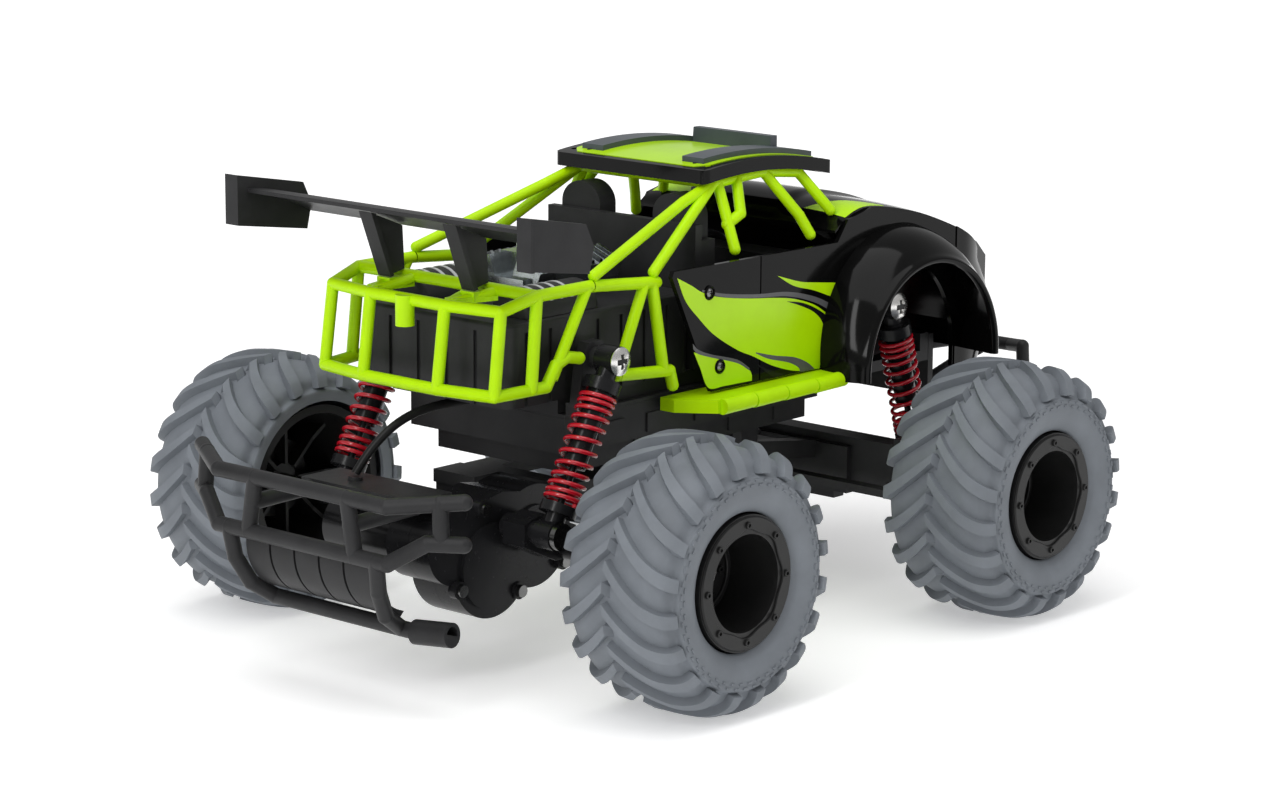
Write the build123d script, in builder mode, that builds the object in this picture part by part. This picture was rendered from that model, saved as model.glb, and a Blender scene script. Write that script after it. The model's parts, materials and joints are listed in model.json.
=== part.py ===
from build123d import *
import math
import os

os.makedirs("parts", exist_ok=True)

# Radio-controlled monster truck, millimetres. +X is forward, +Y is the truck's left and +Z is up.
# The origin is on the ground, under the middle of the truck.

# ---------------------------------------------------------------- driving dimensions
TYRE_RADIUS = 55.0
TYRE_WIDTH = 58.0
WHEEL_MIDDLE = 120.0          # half of the track, measured at the tyres' middle planes
REAR_AXLE_X = -105.5
FRONT_AXLE_X = 95.5
LENGTH_HALF = 206.5           # from the origin to either bumper's outer face

REAR_PIVOT = (-34.0, 70.0)    # (x, z) of the rear swing arm's hinge
FRONT_PIVOT = (34.0, 66.0)    # (x, z) of the front swing arm's hinge
SHOCK_Y = 60.0                # middle plane of each shock absorber
REAR_SHOCK = ((-89.0, 129.0), (-125.0, 63.5))    # (x, z) of the top eye and of the lower eye
FRONT_SHOCK = ((91.5, 127.3), (112.5, 56.0))

KINGPIN_Y = 80.0
STEER_ARM = 22.0              # kingpin to tie rod pin
TUB_BOTTOM = 79.0
TUB_TOP = 104.0
COVER_TOP = 111.8
BED_TOP = 146.0
WALL = 2.2
SIDES = {"left": 1, "right": -1}

RUN_FIT = 0.05                # radial clearance of a shaft that turns in a hole
GAP = 0.3                     # space between parts that move past each other
SKIN_GAP = 0.1                # space between separate parts that are screwed together

# gear train
MODULE = 0.8
FINAL_TEETH = 44
IDLER_SMALL_TEETH = 20
IDLER_LARGE_TEETH = 46
PINION_TEETH = 12
PRESSURE_ANGLE = math.radians(20)
BACKLASH = 0.22


# ---------------------------------------------------------------- helpers
def block(x, y, z, mode=Mode.ADD):
    """Box between three (low, high) pairs."""
    with Locations(((x[0] + x[1]) / 2, (y[0] + y[1]) / 2, (z[0] + z[1]) / 2)):
        Box(x[1] - x[0], y[1] - y[0], z[1] - z[0], mode=mode)


def rod(start, end, radius, mode=Mode.ADD):
    """Round bar between two points."""
    start = Vector(*start)
    end = Vector(*end)
    with BuildSketch(Plane(origin=start, z_dir=end - start)) as section:
        Circle(radius)
    extrude(section.sketch, amount=(end - start).length, mode=mode)


def cross_rod(x, z, y, radius, mode=Mode.ADD):
    """Round bar along Y, centred on (x, z), between the (low, high) pair y."""
    rod((x, y[0], z), (x, y[1], z), radius, mode)


def side_plate(points, y, mode=Mode.ADD):
    """Flat plate with an outline of (x, z) points, between the (low, high) pair y."""
    with BuildSketch(Plane.XZ.offset(-y[1])) as outline:
        Polygon(*points, align=None)
    extrude(outline.sketch, amount=y[1] - y[0], mode=mode)


def floor_plate(points, z, mode=Mode.ADD):
    """Flat plate with an outline of (x, y) points, between the (low, high) pair z."""
    with BuildSketch(Plane.XY.offset(z[0])) as outline:
        Polygon(*points, align=None)
    extrude(outline.sketch, amount=z[1] - z[0], mode=mode)


def tube_run(points, radius):
    """Round tube through the points, with a ball a hair larger than the tube at each of them."""
    for start, end in zip(points, points[1:]):
        rod(start, end, radius)
    for point in points:
        with Locations(point):
            Sphere(radius * 1.02)


def across(point):
    """A straight bar from a point to its mirror image on the other side."""
    x, y, z = point
    return [(x, y, z), (x, -y, z)]


def finish(piece, name):
    """Label a finished piece and write it."""
    piece.part.label = name
    export_step(piece.part, f"parts/{name}.step")


# ---------------------------------------------------------------- gear train
def involute(angle):
    return math.tan(angle) - angle


def gear_outline(teeth, phase):
    """Points round a spur gear whose first tooth points at the angle phase, with involute flanks."""
    pitch = MODULE * teeth / 2
    base = pitch * math.cos(PRESSURE_ANGLE)
    outer = pitch + 0.9 * MODULE
    root = pitch - 1.3 * MODULE
    half_tooth = math.pi / (2 * teeth) - BACKLASH / (2 * pitch)
    steps = 4
    flank = []
    for step in range(steps + 1):
        radius = max(base, root) + (outer - max(base, root)) * step / steps
        turn = involute(PRESSURE_ANGLE) - involute(math.acos(min(1.0, base / radius)))
        flank.append((radius, half_tooth + turn))
    points = []
    for tooth in range(teeth):
        middle = phase + 2 * math.pi * tooth / teeth
        ring = [(root, -flank[0][1])] + [(r, -a) for r, a in flank]
        ring += [(r, a) for r, a in reversed(flank)] + [(root, flank[0][1])]
        for radius, angle in ring:
            points.append((radius * math.cos(middle + angle), radius * math.sin(middle + angle)))
    return points


def gear_disc(centre, y, teeth, phase):
    """Spur gear about an axis along Y through centre, between the (low, high) pair y."""
    plane = Plane(origin=(centre[0], y[1], centre[1]), x_dir=(1, 0, 0), z_dir=(0, -1, 0))
    with BuildSketch(plane) as outline:
        Polygon(*gear_outline(teeth, phase), align=None)
    extrude(outline.sketch, amount=y[1] - y[0])


def mesh_distance(teeth_a, teeth_b):
    return MODULE * (teeth_a + teeth_b) / 2


def step_from(point, distance, angle):
    return (point[0] + distance * math.cos(angle), point[1] + distance * math.sin(angle))


SHAFT_CENTRE = (REAR_AXLE_X, TYRE_RADIUS)
IDLER_ANGLE = math.radians(197.7)
MOTOR_ANGLE = math.radians(152.0)
IDLER_CENTRE = step_from(SHAFT_CENTRE, mesh_distance(FINAL_TEETH, IDLER_SMALL_TEETH), IDLER_ANGLE)
MOTOR_CENTRE = step_from(IDLER_CENTRE, mesh_distance(IDLER_LARGE_TEETH, PINION_TEETH), MOTOR_ANGLE)
CASE_RIGHT = -33.0
CASE_SPLIT = -21.0
CASE_LEFT = -9.0
FINAL_Y = (-19.0, -13.0)
IDLER_LARGE_Y = (-29.0, -24.0)
SHAFT_RADIUS = 2.5
IDLER_PIN_RADIUS = 1.5
MOTOR_SHAFT_RADIUS = 1.15
SHAFT_END = 127.0

with BuildPart() as final_gear:
    gear_disc(SHAFT_CENTRE, FINAL_Y, FINAL_TEETH, IDLER_ANGLE)
    cross_rod(*SHAFT_CENTRE, (FINAL_Y[0] - 1, FINAL_Y[1] + 1), 6.0)
    cross_rod(*SHAFT_CENTRE, (-40, 0), SHAFT_RADIUS, Mode.SUBTRACT)
finish(final_gear, "final_gear")

with BuildPart() as idler_gear:
    small_phase = IDLER_ANGLE + math.pi + math.pi / IDLER_SMALL_TEETH
    gear_disc(IDLER_CENTRE, (FINAL_Y[0] - 0.5, FINAL_Y[1] + 0.5), IDLER_SMALL_TEETH, small_phase)
    gear_disc(IDLER_CENTRE, IDLER_LARGE_Y, IDLER_LARGE_TEETH, MOTOR_ANGLE)
    cross_rod(*IDLER_CENTRE, (IDLER_LARGE_Y[0] - 1, FINAL_Y[1] + 1), 4.5)
    cross_rod(*IDLER_CENTRE, (-40, 0), IDLER_PIN_RADIUS + RUN_FIT, Mode.SUBTRACT)
finish(idler_gear, "idler_gear")

with BuildPart() as motor_pinion:
    pinion_phase = MOTOR_ANGLE + math.pi + math.pi / PINION_TEETH
    gear_disc(MOTOR_CENTRE, (IDLER_LARGE_Y[0] - 1, IDLER_LARGE_Y[1] + 1), PINION_TEETH, pinion_phase)
    cross_rod(*MOTOR_CENTRE, (IDLER_LARGE_Y[1], 26), MOTOR_SHAFT_RADIUS)
finish(motor_pinion, "motor_pinion")


# ---------------------------------------------------------------- rear axle: gear case
CASE_SCREWS = [(-116.5, 34.5), (-150.5, 41.0), (-90.5, 42.0), (-137.0, 72.0)]
SCREW_BOSS = 2.6


def case_outline(grow):
    """Outline of the gear case: a round lobe about each gear and a deck above, grown by a margin."""
    for centre, radius in ((SHAFT_CENTRE, 19.4), (IDLER_CENTRE, 19.8), (MOTOR_CENTRE, 13.4)):
        with Locations(centre):
            Circle(radius + grow)
    deck = [(-150 - grow, 50), (-148 - grow, 69 + grow), (-124, 74.5 + grow), (-97 + grow, 70 + grow),
            (-97 + grow, 50)]
    Polygon(*deck, align=None)


def case_half(y, name, open_side):
    """Half of the gear case, a shell open on the split plane, with bores for its shafts."""
    inner = (y[0], y[1] - 2.0) if open_side == "right" else (y[0] + 2.0, y[1])
    with BuildPart() as half:
        with BuildSketch(Plane.XZ.offset(-y[1])):
            case_outline(2.0)
        extrude(amount=y[1] - y[0])
        with BuildSketch(Plane.XZ.offset(-inner[1])):
            case_outline(0.0)
        extrude(amount=inner[1] - inner[0], mode=Mode.SUBTRACT)
        if open_side == "left":
            cross_rod(*IDLER_CENTRE, (y[0] + 1, IDLER_LARGE_Y[0] - 1 - GAP), 3.2)
            cross_rod(*IDLER_CENTRE, (y[0] + 1, CASE_LEFT - 2 - GAP), IDLER_PIN_RADIUS)
            for centre, radius in ((IDLER_CENTRE, 18.0), (SHAFT_CENTRE, 13.0)):
                cross_rod(*centre, (y[0] - 1.5, y[0] + 1), radius)
            for centre in CASE_SCREWS:
                cross_rod(*centre, (y[0] - SCREW_BOSS, y[0] + 1), 3.6)
        else:
            cross_rod(*MOTOR_CENTRE, (y[0], y[1] + 1), 4.0, Mode.SUBTRACT)
        cross_rod(*SHAFT_CENTRE, (y[0] - 3, y[1] + 3), SHAFT_RADIUS + RUN_FIT, Mode.SUBTRACT)
    finish(half, name)


case_half((CASE_RIGHT, CASE_SPLIT - SKIN_GAP), "gearbox_right", "left")
case_half((CASE_SPLIT, CASE_LEFT), "gearbox_left", "right")

MOTOR_RADIUS = 12.5
MOTOR_Y = (CASE_LEFT + SKIN_GAP, 31.0)
with BuildPart() as drive_motor:
    cross_rod(*MOTOR_CENTRE, MOTOR_Y, MOTOR_RADIUS)
    cross_rod(*MOTOR_CENTRE, (MOTOR_Y[0] - 1.5, MOTOR_Y[0]), 3.8)
    cross_rod(*MOTOR_CENTRE, (MOTOR_Y[1], MOTOR_Y[1] + 2), 4.0)
    cross_rod(*MOTOR_CENTRE, (MOTOR_Y[0] - 5, 28), MOTOR_SHAFT_RADIUS + RUN_FIT, Mode.SUBTRACT)
finish(drive_motor, "drive_motor")

EYE_HALF = 4.5
EYE_RADIUS = 6.0
PIN_RADIUS = 2.4
PIN_END = SHOCK_Y + EYE_HALF + 0.1
BOSS_END = SHOCK_Y - EYE_HALF - GAP
SCREW_HEAD = 2.7


def shock_stub(x, z, side):
    """Stub that carries a shock's eye: a boss, a pin and a pilot hole for its screw."""
    cross_rod(x, z, sorted((side * (BOSS_END - 4), side * BOSS_END)), 4.5)
    cross_rod(x, z, sorted((side * BOSS_END, side * PIN_END)), PIN_RADIUS)
    cross_rod(x, z, sorted((side * (PIN_END - 8), side * PIN_END)), 1.2, Mode.SUBTRACT)


AXLE_TUBE_RADIUS = 6.5
AXLE_TUBE_END = 89.0
with BuildPart() as axle_tubes:
    for side, inner in ((1, CASE_LEFT + SKIN_GAP), (-1, -CASE_RIGHT + 1.6)):
        reach = sorted((side * inner if side < 0 else inner, side * AXLE_TUBE_END))
        cross_rod(*SHAFT_CENTRE, reach, AXLE_TUBE_RADIUS)
        lug = [(-101, 49), (-101, 62), (-120, 70), (-131, 67), (-131, 58), (-112, 49)]
        side_plate(lug, sorted((side * 40, side * 52)))
        shock_stub(*REAR_SHOCK[1], side)
        cross_rod(*REAR_SHOCK[1], sorted((side * 37, side * 52)), 5.2)
    cross_rod(*SHAFT_CENTRE, (-100, 100), SHAFT_RADIUS + RUN_FIT, Mode.SUBTRACT)
finish(axle_tubes, "axle_tubes")

ARM_Z = (66.0, 71.5)
PIVOT_PIN_RADIUS = 2.0
with BuildPart() as swing_arm:
    block((-83, REAR_PIVOT[0]), (-30, 30), ARM_Z)
    block((-98, -82), (8, 32), ARM_Z)
    block((-96.5, -92), (8, 32), (46, ARM_Z[0] + 1))
    cross_rod(*REAR_PIVOT, (-30, 30), 4.5)
    cross_rod(*REAR_PIVOT, (-31, 31), PIVOT_PIN_RADIUS + RUN_FIT, Mode.SUBTRACT)
    block((-74, -46), (-16, 16), (60, 76), Mode.SUBTRACT)
finish(swing_arm, "swing_arm")

# ---------------------------------------------------------------- rear axle: bumper and skid plate
BUMPER_RADIUS = 3.25
REAR_BAR_X = -LENGTH_HALF + BUMPER_RADIUS * 1.02
UPPER_TIP = (-187.8, 74.6, 89.9)
UPPER_BEND = (REAR_BAR_X, 47.9, 86.5)
LOWER_BEND = (REAR_BAR_X, 48.1, 63.9)
LOWER_MID = (-196.3, 62.7, 73.3)
LOWER_TIP = (-188.3, 74.6, 73.3)
STRUT_TOP = (REAR_BAR_X, 42.0, 63.9)
STRUT_POINTS = [STRUT_TOP, (-201.0, 41.0, 51.0), (-195.0, 38.6, 40.0), (-184.0, 36.0, 32.5)]
TAIL_PIPE = [(-184.0, 36.0, 32.5), (-184.0, -44.0, 32.5)]
TAIL_END = [(-184.0, -44.0, 32.5), (-182.0, -62.0, 34.0)]
with BuildPart() as rear_bumper:
    for side in (1, -1):
        mirror_side = [
            [UPPER_TIP, UPPER_BEND],
            [LOWER_BEND, LOWER_MID, LOWER_TIP],
            [(REAR_BAR_X, 26.3, 86.5), (REAR_BAR_X, 30.3, 63.9)],
            [(-192.6, 66.3, 89.0), (-193.0, 67.4, 73.3)],
            STRUT_POINTS,
            [(REAR_BAR_X, 28.0, 76.0), (-168.0, 28.0, 77.0)],
        ]
        for run in mirror_side:
            tube_run([(x, side * y, z) for x, y, z in run], BUMPER_RADIUS)
    tube_run(across(UPPER_BEND), BUMPER_RADIUS)
    tube_run(across(LOWER_BEND), BUMPER_RADIUS)
    tube_run(TAIL_PIPE, BUMPER_RADIUS)
    rod(*TAIL_END, 5.0)
    rod(TAIL_END[1], (-181.1, -70.0, 34.7), 3.4, Mode.SUBTRACT)
    rod((-183.1, -52.0, 33.2), TAIL_END[1], 3.4, Mode.SUBTRACT)
    block((-172, -150.5), (-31, 33), (77.5, 80.5))
    rod((-162.3, 12.2, 79.5), (-162.05, 12.05, 82.2), 3.0)
finish(rear_bumper, "rear_bumper")

with BuildPart() as skid_plate:
    plate_half = 35.0
    with BuildSketch(Plane.XZ.offset(-plate_half)):
        with BuildLine():
            outer = ThreePointArc((-200.5, 60.0), (-195.8, 44.5), (-183.5, 36.8))
            inner_arc = ThreePointArc((-181.5, 38.8), (-193.0, 46.5), (-198.0, 60.0))
            Line(outer @ 1, inner_arc @ 0)
            Line(inner_arc @ 1, outer @ 0)
        make_face()
    extrude(amount=2 * plate_half)
    for groove in (-21.0, -7.0, 7.0, 21.0):
        with BuildSketch(Plane.XZ.offset(-groove - 0.6)):
            with BuildLine():
                rim_arc = ThreePointArc((-201.5, 60.5), (-196.8, 43.8), (-183.5, 35.8))
                bed_arc = ThreePointArc((-182.6, 37.7), (-194.9, 45.2), (-199.6, 60.5))
                Line(rim_arc @ 1, bed_arc @ 0)
                Line(bed_arc @ 1, rim_arc @ 0)
            make_face()
        extrude(amount=1.2, mode=Mode.SUBTRACT)
finish(skid_plate, "skid_plate")

with BuildPart() as axle_screws:
    for x, z in CASE_SCREWS:
        cross_rod(x, z, (CASE_RIGHT - SCREW_BOSS - 1.9, CASE_RIGHT - SCREW_BOSS - 0.1), 2.5)
    for side in (1, -1):
        x, z = REAR_SHOCK[1]
        cross_rod(x, z, sorted((side * (PIN_END + 0.1), side * (PIN_END + SCREW_HEAD))), 5.5)
        cross_rod(x, z, sorted((side * (PIN_END - 7), side * (PIN_END + 1))), 1.15)
finish(axle_screws, "axle_screws")

NUT_RADIUS = 5.0
HUB_FACE = WHEEL_MIDDLE + 3.0
with BuildPart() as rear_shaft:
    cross_rod(*SHAFT_CENTRE, (-SHAFT_END, SHAFT_END), SHAFT_RADIUS)
    for side in (1, -1):
        origin = (SHAFT_CENTRE[0], side * (HUB_FACE + SKIN_GAP), SHAFT_CENTRE[1])
        with BuildSketch(Plane(origin=origin, x_dir=(1, 0, 0), z_dir=(0, side, 0))):
            RegularPolygon(NUT_RADIUS, 6)
        extrude(amount=3.4)
finish(rear_shaft, "rear_shaft")


# ---------------------------------------------------------------- wheels
def wheel_plane(x, side, turn=0.0):
    """Half plane from a wheel's axis: its first coordinate runs outboard, its second is the radius."""
    origin = (x, side * WHEEL_MIDDLE, TYRE_RADIUS)
    normal = (side * math.cos(turn), 0, -side * math.sin(turn))
    return Plane(origin=origin, x_dir=(0, side, 0), z_dir=normal)


def wheel_axis(x):
    return Axis(origin=(x, 0, TYRE_RADIUS), direction=(0, 1, 0))


HALF_W = TYRE_WIDTH / 2
TREAD_POINTS = [(0.0, 1.0), (0.4, 0.995), (0.66, 0.975), (0.90, 0.90), (1.0, 0.78)]


def make_tyre(name, x, side):
    """Hollow tyre: a crowned tread, bulging sides and two beads that clamp the rim."""
    tread = [(HALF_W * w, TYRE_RADIUS * r) for w, r in TREAD_POINTS]
    outside = [(-w, r) for w, r in reversed(tread[1:])] + tread
    with BuildPart() as tyre:
        with BuildSketch(wheel_plane(x, side)):
            with BuildLine():
                crown = Spline(*outside)
                Polyline(crown @ 1, (28.2, 35.0), (23.1, 27.8), (23.1, 26.2), (20.9, 26.2), (19.1, 29.0),
                         (25.0, 37.0), (25.4, 43.0), (22.0, 48.5), (12.0, 51.2), (0, 51.6),
                         (-12.0, 51.2), (-22.0, 48.5), (-25.4, 43.0), (-24.4, 38.5), (-20.0, 37.0),
                         (-20.0, 33.9), (-24.0, 33.9), (-24.0, 35.7), (-28.0, 37.6), crown @ 0)
            make_face()
        revolve(axis=wheel_axis(x))
    finish(tyre, name)


RING_OUTER = 27.2
RING_INNER = 19.5
RIB_COUNT = 8


def make_rim(name, x, side, bore):
    """Deep dished rim with ribs on its inner side, and its clamping ring with eight bolt heads."""
    with BuildPart() as rim:
        with BuildSketch(wheel_plane(x, side)):
            Polygon((-25.0, 31.8), (-25.0, 35.4), (-24.2, 35.4), (-24.2, 33.7), (-19.8, 33.7),
                    (18.8, 28.6), (20.6, 26.0), (23.2, 26.0), (23.2, 19.8), (3.0, 17.4),
                    (3.0, bore), (-4.0, bore), (-4.0, 7.0), (0.6, 7.0), (0.6, 17.2), (16.0, 20.0),
                    (17.0, 26.6), (-20.0, 31.8), align=None)
        revolve(axis=wheel_axis(x))
        for rib in range(RIB_COUNT):
            with BuildSketch(wheel_plane(x, side, 2 * math.pi * rib / RIB_COUNT)):
                Polygon((-6.0, 6.9), (0.7, 6.9), (0.7, 17.8), (10.0, 20.0), (10.0, 28.3), (-8.0, 30.8),
                        (-6.0, 22.0), align=None)
            extrude(amount=0.8, both=True)
        with BuildSketch(Plane(origin=(x, side * (WHEEL_MIDDLE + 23.3), TYRE_RADIUS),
                               x_dir=(1, 0, 0), z_dir=(0, side, 0))):
            Circle(RING_OUTER)
            Circle(RING_INNER, mode=Mode.SUBTRACT)
        extrude(amount=2.2)
        with BuildSketch(Plane(origin=(x, side * (WHEEL_MIDDLE + 25.4), TYRE_RADIUS),
                               x_dir=(1, 0, 0), z_dir=(0, side, 0))):
            with PolarLocations((RING_OUTER + RING_INNER) / 2, RIB_COUNT):
                Circle(1.2)
        extrude(amount=0.8)
    finish(rim, name)


for axle, x, bore in (("rear", REAR_AXLE_X, SHAFT_RADIUS), ("front", FRONT_AXLE_X, SHAFT_RADIUS + RUN_FIT)):
    for side_name, side in SIDES.items():
        make_tyre(f"tyre_{axle}_{side_name}", x, side)
        make_rim(f"rim_{axle}_{side_name}", x, side, bore)


# ---------------------------------------------------------------- front axle and steering
BEAM_X = (86.0, 105.0)
KINGPIN_RADIUS = 2.0
TIE_ROD_Z = (47.0, 50.5)
ARM_Z_FRONT = (51.2, 54.2)
TIE_PIN_RADIUS = 1.5
TIE_X = FRONT_AXLE_X - STEER_ARM
with BuildPart() as front_axle_beam:
    block(BEAM_X, (-42, 42), (41, 62))
    block((89, 100), (-71, 71), (44, 66))
    for side in (1, -1):
        for z in ((41, 45.2), (64.8, 69)):
            block((88.5, 102.5), sorted((side * 66, side * 86)), z)
        block((88.5, 102.5), sorted((side * 66, side * 71)), (41, 69))
        rod((FRONT_AXLE_X, side * KINGPIN_Y, 40), (FRONT_AXLE_X, side * KINGPIN_Y, 70.5), KINGPIN_RADIUS)
        arm = [(FRONT_PIVOT[0], 62), (FRONT_PIVOT[0], 70), (90, 62), (90, 54)]
        side_plate(arm, sorted((side * 17, side * 24)))
        cross_rod(*FRONT_PIVOT, sorted((side * 17, side * 24)), 4.5)
        cross_rod(*FRONT_PIVOT, sorted((side * 16, side * 25)), PIVOT_PIN_RADIUS + RUN_FIT, Mode.SUBTRACT)
        lug = [(100, 45), (100, 63), (112, 62), (118, 57), (117, 51), (110, 47)]
        side_plate(lug, sorted((side * 44, side * 52)))
        shock_stub(*FRONT_SHOCK[1], side)
    block((60, 68), (-18, 18), (59, 65))
    block((92, 99), (-30, 30), (36, 42))
finish(front_axle_beam, "front_axle_beam")

HORN_X = TIE_X - STEER_ARM
HORN_SHAFT_RADIUS = 2.0
with BuildPart() as steering_servo:
    block((40.5, 59.8), (-10.5, 10.5), (57.5, 73.5))
    block((36.5, 63.8), (-10.5, 10.5), (67.0, 69.0))
    rod((HORN_X, 0, ARM_Z_FRONT[0]), (HORN_X, 0, 58), HORN_SHAFT_RADIUS)
finish(steering_servo, "steering_servo")

SLOT_HALF = 1.8
SLOT_RADIUS = TIE_PIN_RADIUS + GAP


def pin_slot(x, y, z):
    """Slot along X for a tie rod pin."""
    for shift in (-SLOT_HALF, SLOT_HALF):
        rod((x + shift, y, z[0] - 1), (x + shift, y, z[1] + 1), SLOT_RADIUS, Mode.SUBTRACT)
    block((x - SLOT_HALF, x + SLOT_HALF), (y - SLOT_RADIUS, y + SLOT_RADIUS), (z[0] - 1, z[1] + 1),
          Mode.SUBTRACT)


with BuildPart() as servo_horn:
    rod((HORN_X, 0, ARM_Z_FRONT[0]), (HORN_X, 0, ARM_Z_FRONT[1] + 2.5), 4.2)
    block((HORN_X, TIE_X + 2), (-3.4, 3.4), ARM_Z_FRONT)
    rod((TIE_X + 2, 0, ARM_Z_FRONT[0]), (TIE_X + 2, 0, ARM_Z_FRONT[1]), 3.4)
    rod((HORN_X, 0, 50), (HORN_X, 0, 58), HORN_SHAFT_RADIUS + RUN_FIT, Mode.SUBTRACT)
    pin_slot(TIE_X, 0, ARM_Z_FRONT)
finish(servo_horn, "servo_horn")

with BuildPart() as tie_rod:
    block((TIE_X - 3, TIE_X + 3), (-KINGPIN_Y, KINGPIN_Y), TIE_ROD_Z)
    for y in (-KINGPIN_Y, KINGPIN_Y):
        rod((TIE_X, y, TIE_ROD_Z[0]), (TIE_X, y, TIE_ROD_Z[1]), 4.0)
    for y in (-KINGPIN_Y, 0, KINGPIN_Y):
        rod((TIE_X, y, TIE_ROD_Z[0]), (TIE_X, y, ARM_Z_FRONT[1] + 0.8), TIE_PIN_RADIUS)
finish(tie_rod, "tie_rod")

KNUCKLE_Z = (45.5, 64.5)
SPINDLE_END = 128.5


def make_knuckle(name, side):
    """Steering knuckle with its rearward arm, and the steel spindle its wheel turns on."""
    y = side * KINGPIN_Y
    with BuildPart() as knuckle:
        rod((FRONT_AXLE_X, y, KNUCKLE_Z[0]), (FRONT_AXLE_X, y, KNUCKLE_Z[1]), 6.0)
        cross_rod(FRONT_AXLE_X, TYRE_RADIUS, sorted((y, side * 91)), 6.0)
        block((TIE_X, FRONT_AXLE_X), (y - 3.8, y + 3.8), ARM_Z_FRONT)
        rod((TIE_X - 2, y, ARM_Z_FRONT[0]), (TIE_X - 2, y, ARM_Z_FRONT[1]), 3.8)
        block((TIE_X - 2, TIE_X), (y - 3.8, y + 3.8), ARM_Z_FRONT)
        pin_slot(TIE_X, y, ARM_Z_FRONT)
        rod((FRONT_AXLE_X, y, 40), (FRONT_AXLE_X, y, 70), KINGPIN_RADIUS + RUN_FIT, Mode.SUBTRACT)
        hole = sorted((side * (KINGPIN_Y + 3.4), side * 92))
        cross_rod(FRONT_AXLE_X, TYRE_RADIUS, hole, SHAFT_RADIUS + 0.02, Mode.SUBTRACT)
        cross_rod(FRONT_AXLE_X, TYRE_RADIUS, sorted((side * (KINGPIN_Y + 3.6), side * SPINDLE_END)),
                  SHAFT_RADIUS)
        nut_origin = (FRONT_AXLE_X, side * (HUB_FACE + GAP), TYRE_RADIUS)
        with BuildSketch(Plane(origin=nut_origin, x_dir=(1, 0, 0), z_dir=(0, side, 0))):
            RegularPolygon(NUT_RADIUS, 6)
        extrude(amount=3.4)
    finish(knuckle, name)


for side_name, side in SIDES.items():
    make_knuckle(f"knuckle_{side_name}", side)


# ---------------------------------------------------------------- shock absorbers
SEAT_RADIUS = 7.6
BODY_LENGTH = 46.0        # from the top eye to the cylinder's lower end
LOWER_SEAT = 12.5         # from the lower eye to the spring seat's top face
CYLINDER_RADIUS = 4.9
NECK_RADIUS = 4.2
NECK_LENGTH = 8.0
BORE_RADIUS = 3.1
ROD_RADIUS = 1.5
SPRING_OUTER = 7.9
SPRING_INNER = 6.3
UPPER_SEAT = 14.0


def shock_points(shock, side):
    """Top eye and lower eye of a shock absorber on one side."""
    return [Vector(x, side * SHOCK_Y, z) for x, z in shock]


def shock_plane(shock, side, distance):
    """Plane across a shock's axis, this far down from its top eye and facing down the axis."""
    top, bottom = shock_points(shock, side)
    down = (bottom - top).normalized()
    return Plane(origin=top + down * distance, x_dir=(0, 1, 0), z_dir=down)


def shock_disc(shock, side, start, end, radius, mode=Mode.ADD):
    with BuildSketch(shock_plane(shock, side, start)) as section:
        Circle(radius)
    extrude(section.sketch, amount=end - start, mode=mode)


def shock_eye(centre, side):
    cross_rod(*centre, sorted((side * (SHOCK_Y - EYE_HALF), side * (SHOCK_Y + EYE_HALF))), EYE_RADIUS)


def eye_bore(centre, side, clearance):
    reach = sorted((side * (SHOCK_Y - EYE_HALF - 1), side * (SHOCK_Y + EYE_HALF + 1)))
    cross_rod(*centre, reach, PIN_RADIUS + clearance, Mode.SUBTRACT)


LOWER_EYE_CLEARANCE = 0.35
for axle, shock in (("rear", REAR_SHOCK), ("front", FRONT_SHOCK)):
    top_eye, lower_eye = shock
    length = math.dist(*shock)
    for side_name, side in SIDES.items():
        with BuildPart() as shock_body:
            shock_eye(top_eye, side)
            shock_disc(shock, side, 3.0, NECK_LENGTH + 1.0, NECK_RADIUS)
            shock_disc(shock, side, NECK_LENGTH, BODY_LENGTH, CYLINDER_RADIUS)
            shock_disc(shock, side, UPPER_SEAT - 5.0, UPPER_SEAT, SEAT_RADIUS)
            shock_disc(shock, side, UPPER_SEAT, BODY_LENGTH - 4.0, BORE_RADIUS, Mode.SUBTRACT)
            shock_disc(shock, side, BODY_LENGTH - 5.0, BODY_LENGTH + 1.0, ROD_RADIUS + RUN_FIT, Mode.SUBTRACT)
            eye_bore(top_eye, side, RUN_FIT)
        finish(shock_body, f"shock_body_{axle}_{side_name}")
        with BuildPart() as shock_rod:
            shock_eye(lower_eye, side)
            shock_disc(shock, side, length - LOWER_SEAT, length - LOWER_SEAT + 4.0, SEAT_RADIUS)
            shock_disc(shock, side, length - LOWER_SEAT, length - 3.0, NECK_RADIUS)
            shock_disc(shock, side, 30.0, length - LOWER_SEAT + 1.0, ROD_RADIUS)
            shock_disc(shock, side, 30.0, 34.0, BORE_RADIUS - 0.1)
            eye_bore(lower_eye, side, LOWER_EYE_CLEARANCE)
        finish(shock_rod, f"shock_rod_{axle}_{side_name}")
    with BuildPart() as springs:
        for side in SIDES.values():
            start = UPPER_SEAT + SKIN_GAP
            end = length - LOWER_SEAT - SKIN_GAP
            shock_disc(shock, side, start, end, SPRING_OUTER)
            shock_disc(shock, side, start, end, SPRING_INNER, Mode.SUBTRACT)
    finish(springs, f"{axle}_springs")


# ---------------------------------------------------------------- chassis
TUB_LOW_Y = 37.0
TUB_HIGH_Y = 44.0
TUB_STEP_Z = 89.0
TUB_X = (-99.0, 62.0)
TUB_LOW_REAR = -90.0          # the low half stops here, so that the gear case can rise behind it
NOSE_TRAY_X = 172.0
DOOR_X = (-66.0, -6.0)
DOOR_Y = 26.0
SWITCH_X = 20.0
SWITCH_TRAVEL = 3.0
KNOB_HALF = 2.5


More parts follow.
